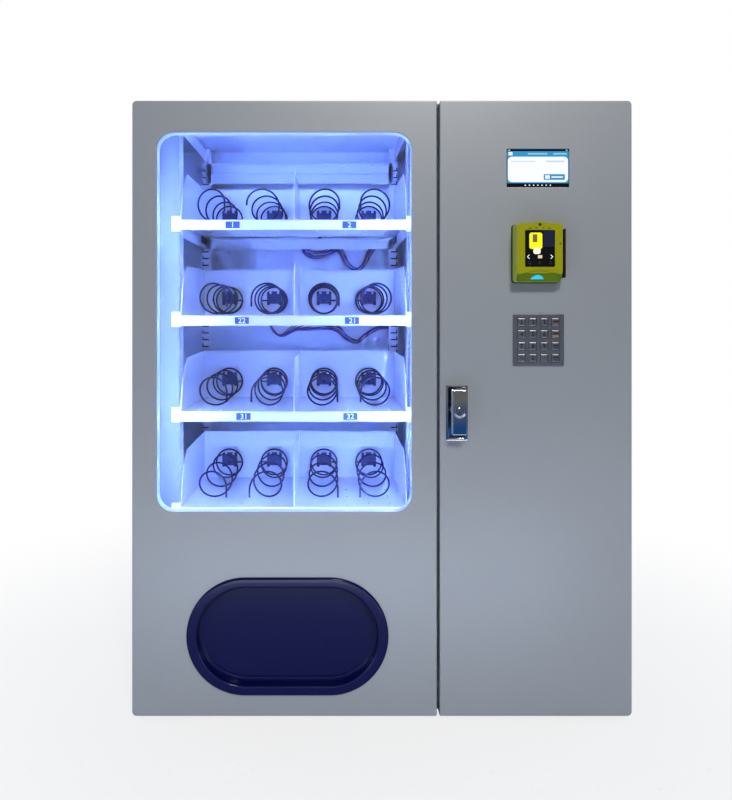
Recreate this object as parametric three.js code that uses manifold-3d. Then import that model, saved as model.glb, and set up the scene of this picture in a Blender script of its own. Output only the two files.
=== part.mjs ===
// A snack vending machine: a steel cabinet with a glazed product door and a control door.
// Millimetres, +X to the right seen from the front, +Y into the machine, +Z up.
// The origin is at the middle of the base.
// Inside the machine group y is the depth behind the doors' front face.

import * as THREE from 'three';
import { mergeVertices } from 'three/addons/utils/BufferGeometryUtils.js';
import Module from 'manifold-3d';

const wasm = await Module();
wasm.setup();

// Overall size
const WIDTH = 910;
const DEPTH = 480;
const HEIGHT = 1127;
const CORNER_RADIUS = 8;

// Sheet thicknesses and clearances
const SHELL_SHEET = 2;
const DOOR_SHEET = 2;
const TRAY_SHEET = 1.5;
const RACK_SHEET = 2;
const SEAT_GAP = 0.3;
const OVERRUN = 5;

// Doors, with a pin hinge at each outer corner
const DOOR_DEPTH = 30;
const DOOR_BACK_GAP = 4;
const DOOR_SPLIT_X = 102.5;
const DOOR_SPLIT_GAP = 5;
const DOOR_SPLIT_RADIUS = 2;
const DOOR_RETURN = 14;
const HINGE_PLATE = 3;
const HINGE_ARM = 30;
const HINGE_INSET = 8;
const HINGE_PIN_RADIUS = 3;
const HINGE_PIN_LENGTH = 10;
const SHELL_LIP = 14;

const BODY_FRONT = DOOR_DEPTH + DOOR_BACK_GAP;
const BACK_INNER = DEPTH - SHELL_SHEET;
const HINGE_DEPTH = DOOR_DEPTH - HINGE_INSET;
const DOOR_BOTTOM = HINGE_PLATE + SEAT_GAP;
const DOOR_TOP = HEIGHT - DOOR_BOTTOM;
const WINDOW_DOOR_RIGHT = DOOR_SPLIT_X - DOOR_SPLIT_GAP / 2;
const CONTROL_DOOR_LEFT = DOOR_SPLIT_X + DOOR_SPLIT_GAP / 2;

// Window, its pane and the light frame behind it
const WINDOW_X = -178;
const WINDOW_WIDTH = 464;
const WINDOW_BOTTOM = 374.6;
const WINDOW_FROM_TOP = 61;
const WINDOW_HEIGHT = HEIGHT - WINDOW_FROM_TOP - WINDOW_BOTTOM;
const WINDOW_RADIUS = 31;
const PANE_THICKNESS = 4;
const PANE_MARGIN = 14;
const LIGHT_FRAME_STEP = 0.5;
const LIGHT_GROOVE_WIDTH = 8;
const LIGHT_GROOVE_DEPTH = 4;

// Delivery port: a moulded frame with a flap hung behind its stop lip
const PORT_X = -172;
const PORT_Z = 149;
const PORT_BEZEL_WIDTH = 368;
const PORT_BEZEL_HEIGHT = 214;
const PORT_WIDTH = 329;
const PORT_HEIGHT = 178;
const PORT_WALL = 3;
const PORT_BEZEL_PROUD = 5;
const PORT_DEPTH = 18;
const PORT_LIP = 7;
const PORT_LIP_THICKNESS = 2;
const PORT_EDGE_ROUND = 4;
const FLAP_LAP = 4.5;
const FLAP_THICKNESS = 3;
const FLAP_BARREL_RADIUS = 4;
const FLAP_BARREL_RISE = 1;
const FLAP_PIN_RADIUS = 2.5;
const FLAP_PIN_LENGTH = 5;
const FLAP_EAR_THICKNESS = 6;
const FLAP_EAR_MARGIN = 4;

// Delivery bin
const BIN_SHEET = 1.5;
const BIN_REAR = 250;
const BIN_TOP = 300;
const BIN_LIP_TOP = 56;
const BIN_FRONT_BOTTOM = 36;
const BIN_REAR_BOTTOM = 90;

// Trays, hung in the rack at one pitch
const TRAY_X = -165.5;
const TRAY_WIDTH = 443;
const TRAY_SIDE_GAP = 2;
const TRAY_COUNT = 4;
const TOP_RAIL_FROM_TOP = 208;
const TOP_RAIL_Z = HEIGHT - TOP_RAIL_FROM_TOP;
const LOW_RAIL_RISE = 58;
const TRAY_PITCH = (TOP_RAIL_Z - BIN_TOP - LOW_RAIL_RISE) / (TRAY_COUNT - 1);
const RAIL_FRONT = 104.5;
const RAIL_THICKNESS = 3.5;
const RAIL_HEIGHT = 19.5;
const RAIL_BEAD = 1.5;
const RAIL_BEAD_HEIGHT = 2;
const TRAY_REAR_FROM_BACK = 74;
const TRAY_REAR = DEPTH - TRAY_REAR_FROM_BACK;
const FLOOR_DROP = 3;
const SIDE_FRONT_HEIGHT = 62;
const SIDE_FRONT_RUN = 20;
const SIDE_SLOPE_HEIGHT = 101;
const SIDE_SLOPE_RUN = 67;
const TRAY_WALL_HEIGHT = 104;
const DIVIDER_FRONT_GAP = 12;
const DIVIDER_FRONT_SLOPE = 23;
const CLIP_WIDTH = 17;
const CLIP_RISE = 7;
const CLIP_DROP = 22;
const HOOK_HEIGHT = 40;

// Rack
const UPRIGHT_FRONT = 115;
const UPRIGHT_WIDTH = 24;
const UPRIGHT_DEPTH = 36;
const REAR_POST_FROM_BACK = 42;
const REAR_POST_Y = DEPTH - REAR_POST_FROM_BACK;
const REAR_POST_WIDTH = 15;
const REAR_POST_STEP = 4;
const RUNNER_HEIGHT = 30;
const CROSS_MEMBER_HEIGHT = 25;
const CROSS_MEMBER_DROP = 31;
const TOP_MEMBER_FROM_TOP = 79;
const TOP_MEMBER_HEIGHT = 43;
const CROSS_HOLE_RADIUS = 3;
const CROSS_HOLE_SHARES = [-0.25, 0, 0.25];

// Wire spirals: open turns, one closing turn at the back, a notched hub on a stub shaft
const SPIRAL_SHARES = [0.13, 0.3635];
const SPIRAL_AXIS_RISE = 34;
const COIL_RADIUS = 30;
const WIRE_RADIUS = 2;
const WIRE_SIDES = 5;
const OPEN_TURNS = 3;
const TURN_STEPS = 8;
const COIL_FRONT = 111;
const CLOSING_PITCH = 6;
const TAIL_LENGTH = 13;
const HUB_WIDTH = 34;
const HUB_HEIGHT = 28;
const HUB_RISE = 7;
const HUB_RADIUS = 3;
const HUB_THICKNESS = 9;
const HUB_NOTCH_WIDTH = 6;
const HUB_NOTCH_DEPTH = 7;
const STUB_RADIUS = 5;
const STUB_LENGTH = 20;
const SHAFT_HOLE_RADIUS = 8;

// Gearmotors behind each tray
const MOTOR_PLATE_HEIGHT = 50;
const MOTOR_PLATE_MARGIN = 24;
const MOTOR_PLATE_THICKNESS = 2;
const GEARBOX_WIDTH = 42;
const GEARBOX_HEIGHT = 38;
const GEARBOX_DEPTH = 24;
const MOTOR_RADIUS = 12;
const MOTOR_LENGTH = 14;
const TAB_WIDTH = 33;
const TAB_HEIGHT = 8;
const TAB_RISE = 30.3;
const TAB_PROUD = 5;

// Partition between the product bay and the control bay
const PARTITION_X = 84;
const MULLION_WIDTH = 36;
const CABLE_HOLE_RADIUS = 16;
const CABLE_HOLE_FROM_BACK = 22;
const CABLE_HOLE_Y = DEPTH - CABLE_HOLE_FROM_BACK;
const CABLE_HOLE_Z = 600;

// Control bay: supply and control box with its mains inlet in the rear wall
const BOX_FROM_SIDE = 165;
const BOX_X = WIDTH / 2 - BOX_FROM_SIDE;
const BOX_BOTTOM = 250;
const BOX_WIDTH = 200;
const BOX_DEPTH = 90;
const BOX_HEIGHT = 260;
const BOX_FOOT = 12;
const INLET_DROP = 90;
const INLET_WIDTH = 28;
const INLET_HEIGHT = 22;
const INLET_WALL = 2;
const INLET_RECESS = 14;
const INLET_PIN_WIDTH = 2;
const INLET_PIN_HEIGHT = 4;
const INLET_PIN_PITCH = 7;
const VENT_COUNT = 8;
const VENT_WIDTH = 120;
const VENT_HEIGHT = 5;
const VENT_PITCH = 14;
const VENT_BOTTOM = 640;

// Display
const DISPLAY_X = 284;
const DISPLAY_FROM_TOP = 126;
const DISPLAY_Z = HEIGHT - DISPLAY_FROM_TOP;
const DISPLAY_WIDTH = 113;
const DISPLAY_HEIGHT = 69;
const DISPLAY_STEP = 0.5;
const DISPLAY_FLANGE = 6;
const DISPLAY_FLANGE_THICKNESS = 5;
const DISPLAY_CASE_DEPTH = 14;

// Payment terminal
const TERMINAL_X = 277.5;
const TERMINAL_BELOW_DISPLAY = 157;
const TERMINAL_Z = DISPLAY_Z - TERMINAL_BELOW_DISPLAY;
const TERMINAL_WIDTH = 81;
const TERMINAL_HEIGHT = 102;
const TERMINAL_DEPTH = 40;
const TERMINAL_RADIUS = 4;
const TERMINAL_CHIN_HEIGHT = 15;
const TERMINAL_CHIN_DEPTH = 14;
const TERMINAL_BROW = 3;
const BUMP_RADIUS = 9;
const BUMP_RISE = 5;
const LENS_HOLE_RADIUS = 1.8;
const LENS_HOLE_DEPTH = 4;
const SWIPE_WIDTH = 8;
const SWIPE_DEPTH = 30;
const SWIPE_HEIGHT = 88;
const SWIPE_SLOT = 1.5;
const SWIPE_SLOT_DEPTH = 18;
const SCREEN_WIDTH = 52.5;
const SCREEN_HEIGHT = 65;
const SCREEN_RISE = 7.7;
const SCREEN_THICKNESS = 2;
const SCREEN_RADIUS = 2;

// Keypad
const KEYPAD_X = 284.4;
const KEYPAD_BELOW_TERMINAL = 156;
const KEYPAD_Z = TERMINAL_Z - KEYPAD_BELOW_TERMINAL;
const KEYPAD_WIDTH = 93;
const KEYPAD_HEIGHT = 95;
const KEYPAD_PLATE = 2;
const KEYPAD_RADIUS = 2;
const KEYPAD_RIM = 3.5;
const KEYPAD_BODY_DEPTH = 14;
const KEY_COUNT = 4;
const KEY_PITCH_X = 20.6;
const KEY_PITCH_Z = 21.8;
const KEY_WIDTH = 14;
const KEY_HEIGHT = 15;
const KEY_PROUD = 1.5;
const KEY_DEPTH = 8;
const KEY_TRAVEL = 1.2;
const KEY_CHAMFER = 1;

// Door lock: a dish, a spindle with its cam, and a T-handle with a key cylinder
const LOCK_X = 136;
const LOCK_BELOW_KEYPAD = 128;
const LOCK_Z = KEYPAD_Z - LOCK_BELOW_KEYPAD;
const LOCK_DISH_DROP = 4.5;
const LOCK_WIDTH = 40;
const LOCK_HEIGHT = 101;
const LOCK_RADIUS = 5;
const LOCK_PROUD = 4;
const LOCK_RIM = 5;
const LOCK_DISH_DEPTH = 14;
const LOCK_WALL = 2;
const HANDLE_WIDTH = 26;
const HANDLE_HEIGHT = 81;
const HANDLE_THICKNESS = 16;
const HANDLE_RADIUS = 6;
const HANDLE_TRAVEL = 30;
const HANDLE_EDGE = 2;
const STEM_RADIUS = 6;
const STEM_END = 46;
const SPINDLE_RADIUS = 10;
const SPINDLE_COLLAR_RADIUS = 14;
const SPINDLE_COLLAR = 4;
const CAM_LENGTH = 30;
const CAM_HALF_WIDTH = 11;
const CAM_THICKNESS = 3;
const CAM_GAP = 2;
const CYLINDER_RADIUS = 8.5;
const CYLINDER_DEPTH = 12;
const CYLINDER_PROUD = 1;
const KEYWAY_WIDTH = 2;
const KEYWAY_HEIGHT = 9;
const KEYWAY_DEPTH = 5;

// Wiring loom behind the trays: clipped to the rear wall, with a hanging loop to a motor of each tray.
// A route's points are x in the machine and z from the tray's rail. It ends under one motor of the tray,
// counted from the left.
const LOOM_RADIUS = 4;
const LOOM_SIDES = 8;
const LOOM_FROM_BACK = 18;
const LOOM_Y = DEPTH - LOOM_FROM_BACK;
const LOOM_TRUNK_X = 56;
const LOOM_STRAIGHT = 12;
const LOOM_EXTRA_STEPS = 3;
const LOOM_CLIP_WIDTH = 14;
const LOOM_CLIP_HEIGHT = 10;
const LOOM_ROUTES = [
  [
    [56, -20], [30, -14], [5, -30], [-10, -62], [-29, -79], [-52, -64],
    [-74, -31], [-105, -41], [-137, -44], [-155, -30], [-130, -12],
  ],
  [
    [56, -30], [21, -31], [-11, -50], [-29, -64], [-55, -53], [-78, -33],
    [-120, -28], [-173, -32], [-212, -49], [-234, -32], [-234, -12],
  ],
  [[56, -44], [20, -48], [-40, -56], [-90, -52], [-126, -34], [-120, -12]],
  [[56, -40], [20, -46], [-40, -52], [-90, -50], [-126, -34], [-120, -12]],
];
const LOOM_MOTOR_COUNTS = [3, 2, 3, 3];

// Round counts
const ROUND_STEPS = 10;
const SMALL_STEPS = 8;
const PORT_STEPS = 6;
const CORNER_STEPS = 2;
const WINDOW_STEPS = 4;
const WELD_DISTANCE = 1e-4;

// Looks: colour, roughness, metalness
const LOOKS = {
  paint: ['#9a9fa6', 0.55, 0.2],
  inner: ['#c9d4ea', 0.5, 0.2],
  tray: ['#dfe6f5', 0.45, 0.2],
  glass: ['#d8e4f2', 0.05, 0],
  light: ['#e6f0ff', 0.4, 0.1],
  dark: ['#0c1230', 0.3, 0],
  wire: ['#3a3f55', 0.35, 0.8],
  motor: ['#23252c', 0.5, 0.2],
  steel: ['#85888e', 0.35, 0.9],
  chrome: ['#c9ced6', 0.12, 1],
  screen: ['#f2f8fb', 0.2, 0],
  terminal: ['#868600', 0.4, 0],
  black: ['#0a0b10', 0.3, 0],
  loom: ['#2b4a9b', 0.6, 0],
};

const machine = new THREE.Group();
machine.position.y = -DEPTH / 2;

// Solids from geometries, and back
function solidOf(geometry) {
  geometry.deleteAttribute('normal');
  geometry.deleteAttribute('uv');
  const welded = mergeVertices(geometry, WELD_DISTANCE);
  const vertProperties = new Float32Array(welded.attributes.position.array);
  const triVerts = new Uint32Array(welded.index.array);
  return new wasm.Manifold(new wasm.Mesh({ numProp: 3, vertProperties, triVerts }));
}

function joined(...solids) {
  return solids.reduce((sum, next) => sum.add(next));
}

function cutFrom(solid, ...cuts) {
  return cuts.reduce((rest, next) => rest.subtract(next), solid);
}

function addPiece(parent, name, solid, look) {
  const made = solid.getMesh();
  const geometry = new THREE.BufferGeometry();
  geometry.setAttribute('position', new THREE.BufferAttribute(made.vertProperties, 3));
  geometry.setIndex(new THREE.BufferAttribute(made.triVerts, 1));
  const [color, roughness, metalness] = LOOKS[look];
  const material = new THREE.MeshStandardMaterial({ color, roughness, metalness, flatShading: true });
  const mesh = new THREE.Mesh(geometry, material);
  mesh.name = name;
  parent.add(mesh);
  return mesh;
}

// Basic forms, each from its limits
function block(x0, x1, y0, y1, z0, z1) {
  const geometry = new THREE.BoxGeometry(x1 - x0, y1 - y0, z1 - z0);
  geometry.translate((x0 + x1) / 2, (y0 + y1) / 2, (z0 + z1) / 2);
  return solidOf(geometry);
}

function extruded(shape, length, steps) {
  return new THREE.ExtrudeGeometry(shape, { depth: length, bevelEnabled: false, curveSegments: steps });
}

// A front outline in x and z, run from depth y0 to y1
function frontPrism(shape, y0, y1, steps = CORNER_STEPS) {
  const geometry = extruded(shape, y1 - y0, steps);
  geometry.rotateX(Math.PI / 2);
  geometry.translate(0, y1, 0);
  return solidOf(geometry);
}

// A side outline in y and z, run from x0 to x1
function sidePrism(shape, x0, x1) {
  const geometry = extruded(shape, x1 - x0, CORNER_STEPS);
  geometry.applyMatrix4(new THREE.Matrix4().set(0, 0, 1, 0, 1, 0, 0, 0, 0, 1, 0, 0, 0, 0, 0, 1));
  geometry.translate(x0, 0, 0);
  return solidOf(geometry);
}

function rodY(radius, x, z, y0, y1, steps = ROUND_STEPS) {
  const geometry = new THREE.CylinderGeometry(radius, radius, y1 - y0, steps);
  geometry.translate(x, (y0 + y1) / 2, z);
  return solidOf(geometry);
}

function rodZ(radius, x, y, z0, z1, steps = ROUND_STEPS) {
  const geometry = new THREE.CylinderGeometry(radius, radius, z1 - z0, steps);
  geometry.rotateX(Math.PI / 2);
  geometry.translate(x, y, (z0 + z1) / 2);
  return solidOf(geometry);
}

function rodX(radius, y, z, x0, x1, steps = ROUND_STEPS) {
  const geometry = new THREE.CylinderGeometry(radius, radius, x1 - x0, steps);
  geometry.rotateZ(Math.PI / 2);
  geometry.translate((x0 + x1) / 2, y, z);
  return solidOf(geometry);
}

// Radius of a many-sided hole whose flats clear a shaft of that radius
function clearHole(radius, steps = ROUND_STEPS) {
  return (radius + SEAT_GAP) / Math.cos(Math.PI / steps);
}

// Outlines
function polygon(points) {
  return new THREE.Shape(points.map(([a, b]) => new THREE.Vector2(a, b)));
}

function roundedRect(x0, x1, z0, z1, leftRadius, rightRadius = leftRadius) {
  const shape = new THREE.Shape();
  const left = Math.max(leftRadius, 0);
  const right = Math.max(rightRadius, 0);
  shape.moveTo(x0 + left, z0);
  shape.lineTo(x1 - right, z0);
  if (right > 0) shape.absarc(x1 - right, z0 + right, right, -Math.PI / 2, 0, false);
  shape.lineTo(x1, z1 - right);
  if (right > 0) shape.absarc(x1 - right, z1 - right, right, 0, Math.PI / 2, false);
  shape.lineTo(x0 + left, z1);
  if (left > 0) shape.absarc(x0 + left, z1 - left, left, Math.PI / 2, Math.PI, false);
  shape.lineTo(x0, z0 + left);
  if (left > 0) shape.absarc(x0 + left, z0 + left, left, Math.PI, 1.5 * Math.PI, false);
  return shape;
}

function centredRect(x, z, width, height, radius) {
  return roundedRect(x - width / 2, x + width / 2, z - height / 2, z + height / 2, radius);
}

function stadium(x, z, width, height) {
  return centredRect(x, z, width, height, height / 2);
}

// A body lofted through outlines of one count, each a shape at its own depth
function loft(sections, steps) {
  const rings = sections.map(([shape, y]) => {
    const points = shape.getPoints(steps);
    const start = points[0];
    const closed = points[points.length - 1].distanceTo(start) < WELD_DISTANCE;
    if (closed) points.pop();
    return { points, y };
  });
  const count = rings[0].points.length;
  const positions = rings.flatMap(({ points, y }) => points.flatMap((point) => [point.x, y, point.y]));
  const index = [];
  for (let ring = 0; ring < rings.length - 1; ring += 1) {
    for (let i = 0; i < count; i += 1) {
      const a = ring * count + i;
      const b = ring * count + ((i + 1) % count);
      index.push(a, b, b + count, a, b + count, a + count);
    }
  }
  const last = (rings.length - 1) * count;
  for (const [a, b, c] of THREE.ShapeUtils.triangulateShape(rings[0].points, [])) index.push(a, c, b);
  for (const [a, b, c] of THREE.ShapeUtils.triangulateShape(rings[rings.length - 1].points, [])) {
    index.push(last + a, last + b, last + c);
  }
  return closedBody(positions, index);
}

// A closed body from corners and triangles, turned so that its faces point out
function closedBody(positions, index) {
  let volume = 0;
  const corner = (i) => new THREE.Vector3().fromArray(positions, 3 * i);
  for (let i = 0; i < index.length; i += 3) {
    volume += corner(index[i]).dot(corner(index[i + 1]).cross(corner(index[i + 2])));
  }
  const outward = volume > 0 ? index : [...index].reverse();
  const geometry = new THREE.BufferGeometry();
  geometry.setAttribute('position', new THREE.Float32BufferAttribute(positions, 3));
  geometry.setIndex(outward);
  return solidOf(geometry);
}

// A round wire along points, with rings held square to the run and flat ends
function wireAlong(points, radius, sides) {
  const positions = [];
  const index = [];
  const tangent = (i) => {
    const before = points[Math.max(i - 1, 0)];
    const after = points[Math.min(i + 1, points.length - 1)];
    return after.clone().sub(before).normalize();
  };
  let across = new THREE.Vector3(0, 1, 0).cross(tangent(0));
  if (across.length() < WELD_DISTANCE) across = new THREE.Vector3(1, 0, 0);
  for (let i = 0; i < points.length; i += 1) {
    const along = tangent(i);
    across = across.sub(along.clone().multiplyScalar(across.dot(along))).normalize();
    const up = along.clone().cross(across);
    for (let side = 0; side < sides; side += 1) {
      const angle = (2 * Math.PI * side) / sides;
      const spot = points[i].clone();
      spot.addScaledVector(across, radius * Math.cos(angle));
      spot.addScaledVector(up, radius * Math.sin(angle));
      positions.push(spot.x, spot.y, spot.z);
    }
  }
  for (let i = 0; i < points.length - 1; i += 1) {
    for (let side = 0; side < sides; side += 1) {
      const a = i * sides + side;
      const b = i * sides + ((side + 1) % sides);
      index.push(a, b, b + sides, a, b + sides, a + sides);
    }
  }
  const last = (points.length - 1) * sides;
  for (let side = 1; side < sides - 1; side += 1) {
    index.push(0, side + 1, side, last, last + side, last + side + 1);
  }
  return closedBody(positions, index);
}

// Cabinet shell: an open-fronted box with a front lip, hinge plates with pins, vents and the inlet hole
function cabinetShell() {
  const outline = (inset) => {
    const radius = CORNER_RADIUS - inset;
    return roundedRect(-WIDTH / 2 + inset, WIDTH / 2 - inset, inset, HEIGHT - inset, radius);
  };
  const hollow = frontPrism(outline(SHELL_SHEET), BODY_FRONT + SHELL_SHEET, BACK_INNER);
  const mouth = frontPrism(outline(SHELL_LIP), BODY_FRONT - OVERRUN, BODY_FRONT + SHELL_SHEET + OVERRUN);
  let shell = cutFrom(frontPrism(outline(0), BODY_FRONT, DEPTH), hollow, mouth);

  const tongue = frontPrism(outline(0), HINGE_DEPTH - HINGE_INSET, BODY_FRONT + SHELL_SHEET);
  for (const side of [-1, 1]) {
    const outer = (side * WIDTH) / 2;
    const inner = outer - side * HINGE_ARM;
    const pinX = outer - side * HINGE_INSET;
    for (const [low, high, pinLow, pinHigh] of [
      [0, HINGE_PLATE, 0, HINGE_PLATE + HINGE_PIN_LENGTH],
      [HEIGHT - HINGE_PLATE, HEIGHT, HEIGHT - HINGE_PLATE - HINGE_PIN_LENGTH, HEIGHT],
    ]) {
      const corner = block(Math.min(outer, inner), Math.max(outer, inner), 0, DEPTH / 2, low, high);
      const rim = frontPrism(outline(0), 0, BODY_FRONT);
      const pin = rodZ(HINGE_PIN_RADIUS, pinX, HINGE_DEPTH, pinLow, pinHigh).intersect(rim);
      shell = joined(shell, tongue.intersect(corner), pin);
    }
  }
  const inletGap = 2 * (INLET_WALL + SEAT_GAP);
  const inlet = centredRect(
    BOX_X, BOX_BOTTOM + INLET_DROP, INLET_WIDTH + inletGap, INLET_HEIGHT + inletGap, 0,
  );
  shell = shell.subtract(frontPrism(inlet, BACK_INNER - OVERRUN, DEPTH + OVERRUN));
  for (let row = 0; row < VENT_COUNT; row += 1) {
    const vent = centredRect(BOX_X, VENT_BOTTOM + row * VENT_PITCH, VENT_WIDTH, VENT_HEIGHT, 0);
    shell = shell.subtract(frontPrism(vent, BACK_INNER - OVERRUN, DEPTH + OVERRUN));
  }
  return shell;
}

// Partition: a folded sheet with a mullion flange behind the gap between the doors, and a cable hole
function bayPartition() {
  const front = BODY_FRONT + SHELL_SHEET;
  const low = SHELL_SHEET;
  const high = HEIGHT - SHELL_SHEET;
  const web = block(PARTITION_X, PARTITION_X + SHELL_SHEET, front, BACK_INNER, low, high);
  const right = PARTITION_X + MULLION_WIDTH;
  const flange = block(PARTITION_X, right, front, front + SHELL_SHEET, low, high);
  return joined(web, flange).subtract(cableHole(PARTITION_X - OVERRUN, PARTITION_X + SHELL_SHEET + OVERRUN));
}

function cableHole(x0, x1) {
  return rodX(CABLE_HOLE_RADIUS, CABLE_HOLE_Y, CABLE_HOLE_Z, x0, x1);
}

// Rack frame: four uprights, a wing to the side wall, side runners and rear cross members, welded as one
const RACK_INNER = TRAY_WIDTH / 2 + TRAY_SIDE_GAP;
const RACK_BOTTOM = SHELL_SHEET;
const RACK_TOP = HEIGHT - SHELL_SHEET;

function rackSide(side) {
  const span = (near, far, y0, y1, z0, z1) => {
    const a = TRAY_X + side * near;
    const b = TRAY_X + side * far;
    return block(Math.min(a, b), Math.max(a, b), y0, y1, z0, z1);
  };
  const wall = WIDTH / 2 - SHELL_SHEET - SEAT_GAP - side * TRAY_X;
  const outer = RACK_INNER + UPRIGHT_WIDTH;
  const flange = RACK_INNER + RACK_SHEET;
  const postInner = RACK_INNER - REAR_POST_STEP;
  const postOuter = postInner + REAR_POST_WIDTH;
  const postBack = REAR_POST_Y + RACK_SHEET;
  const upright = joined(
    span(RACK_INNER, outer, UPRIGHT_FRONT, UPRIGHT_FRONT + RACK_SHEET, RACK_BOTTOM, RACK_TOP),
    span(RACK_INNER, flange, UPRIGHT_FRONT, UPRIGHT_FRONT + UPRIGHT_DEPTH, RACK_BOTTOM, RACK_TOP),
  );
  const post = joined(
    span(postInner, postOuter, REAR_POST_Y, postBack, RACK_BOTTOM, RACK_TOP),
    span(postOuter - RACK_SHEET, postOuter, REAR_POST_Y, BACK_INNER, RACK_BOTTOM, RACK_TOP),
  );
  const low = span(RACK_INNER, flange, UPRIGHT_FRONT, postBack, RACK_BOTTOM, RACK_BOTTOM + RUNNER_HEIGHT);
  const high = span(RACK_INNER, flange, UPRIGHT_FRONT, postBack, RACK_TOP - RUNNER_HEIGHT, RACK_TOP);
  const rack = joined(upright, post, low, high);
  if (side > 0) return rack;
  const wing = span(
    outer - RACK_SHEET, wall,
    UPRIGHT_FRONT, UPRIGHT_FRONT + RACK_SHEET,
    CORNER_RADIUS, HEIGHT - CORNER_RADIUS,
  );
  return rack.add(wing);
}

function rackFrame() {
  let rack = joined(rackSide(-1), rackSide(1));
  const reach = RACK_INNER - REAR_POST_STEP + RACK_SHEET;
  for (const tray of [0, TRAY_COUNT - 1]) {
    const low = TOP_RAIL_Z - tray * TRAY_PITCH - CROSS_MEMBER_DROP;
    const high = low + CROSS_MEMBER_HEIGHT;
    const back = REAR_POST_Y + RACK_SHEET;
    rack = rack.add(block(TRAY_X - reach, TRAY_X + reach, REAR_POST_Y, back, low, high));
    for (const side of [-1, 1]) {
      const near = TRAY_X + side * RACK_INNER;
      const far = near + side * RACK_SHEET;
      rack = rack.add(block(Math.min(near, far), Math.max(near, far), UPRIGHT_FRONT, back, low, high));
    }
    for (const share of CROSS_HOLE_SHARES) {
      const holeX = TRAY_X + share * TRAY_WIDTH;
      const middle = (low + high) / 2;
      const front = REAR_POST_Y - OVERRUN;
      rack = rack.subtract(rodY(CROSS_HOLE_RADIUS, holeX, middle, front, back + OVERRUN, SMALL_STEPS));
    }
  }
  const topLow = HEIGHT - TOP_MEMBER_FROM_TOP;
  const topMember = block(
    TRAY_X - reach, TRAY_X + reach, REAR_POST_Y, REAR_POST_Y + RACK_SHEET, topLow, topLow + TOP_MEMBER_HEIGHT,
  );
  return rack.add(topMember).subtract(cableHole(TRAY_X, PARTITION_X));
}

// Tray, about its own middle in x and the top of its rail in z
const RAIL_BACK = RAIL_FRONT + RAIL_THICKNESS;
const SPIRAL_PLACES = SPIRAL_SHARES.map((share) => share * TRAY_WIDTH);
const SPIRAL_XS = SPIRAL_PLACES.flatMap((place) => [-place, place]).sort((a, b) => a - b);
const TAB_GAP = SEAT_GAP;

function traySideOutline() {
  const bottom = -FLOOR_DROP - TRAY_SHEET;
  const hookLow = -FLOOR_DROP;
  return polygon([
    [RAIL_BACK, bottom],
    [TRAY_REAR, bottom],
    [TRAY_REAR, hookLow],
    [REAR_POST_Y, hookLow],
    [REAR_POST_Y, hookLow + HOOK_HEIGHT],
    [TRAY_REAR, hookLow + HOOK_HEIGHT],
    [TRAY_REAR, TRAY_WALL_HEIGHT],
    [RAIL_BACK + SIDE_SLOPE_RUN, SIDE_SLOPE_HEIGHT],
    [RAIL_BACK + SIDE_FRONT_RUN, SIDE_FRONT_HEIGHT],
    [RAIL_BACK, 0],
  ]);
}

function tray() {
  const half = TRAY_WIDTH / 2;
  const floorTop = -FLOOR_DROP;
  const floorLow = floorTop - TRAY_SHEET;
  const wallFront = TRAY_REAR - TRAY_SHEET;
  const bead = RAIL_FRONT + RAIL_BEAD;
  const clipOut = half + CLIP_WIDTH;
  const dividerFront = RAIL_BACK + DIVIDER_FRONT_GAP;
  const divider = polygon([
    [dividerFront, floorLow],
    [TRAY_REAR, floorLow],
    [TRAY_REAR, TRAY_WALL_HEIGHT],
    [dividerFront + DIVIDER_FRONT_SLOPE, TRAY_WALL_HEIGHT],
    [dividerFront, floorTop],
  ]);
  let body = joined(
    block(-half, half, RAIL_BACK - TRAY_SHEET, TRAY_REAR, floorLow, floorTop),
    block(-half, half, wallFront, TRAY_REAR, floorLow, TRAY_WALL_HEIGHT),
    sidePrism(traySideOutline(), -half, -half + TRAY_SHEET),
    sidePrism(traySideOutline(), half - TRAY_SHEET, half),
    sidePrism(divider, -TRAY_SHEET / 2, TRAY_SHEET / 2),
    block(-half, half, bead, RAIL_BACK, -RAIL_HEIGHT, 0),
    block(-half, half, RAIL_FRONT, bead, -RAIL_BEAD_HEIGHT, 0),
    block(-half, half, RAIL_FRONT, bead, -RAIL_HEIGHT, RAIL_BEAD_HEIGHT - RAIL_HEIGHT),
    block(-clipOut, TRAY_SHEET - half, bead, UPRIGHT_FRONT, -CLIP_DROP, CLIP_RISE),
    block(half - TRAY_SHEET, clipOut, bead, UPRIGHT_FRONT, -CLIP_DROP, CLIP_RISE),
  );
  for (const x of SPIRAL_XS) {
    const near = wallFront - OVERRUN;
    const far = TRAY_REAR + OVERRUN;
    const shaft = rodY(SHAFT_HOLE_RADIUS, x, SPIRAL_AXIS_RISE, near, far, SMALL_STEPS);
    const tabZ = SPIRAL_AXIS_RISE + TAB_RISE;
    const slot = centredRect(x, tabZ, TAB_WIDTH + 2 * TAB_GAP, TAB_HEIGHT + 2 * TAB_GAP, 0);
    body = cutFrom(body, shaft, frontPrism(slot, near, far));
  }
  return body;
}

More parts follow.
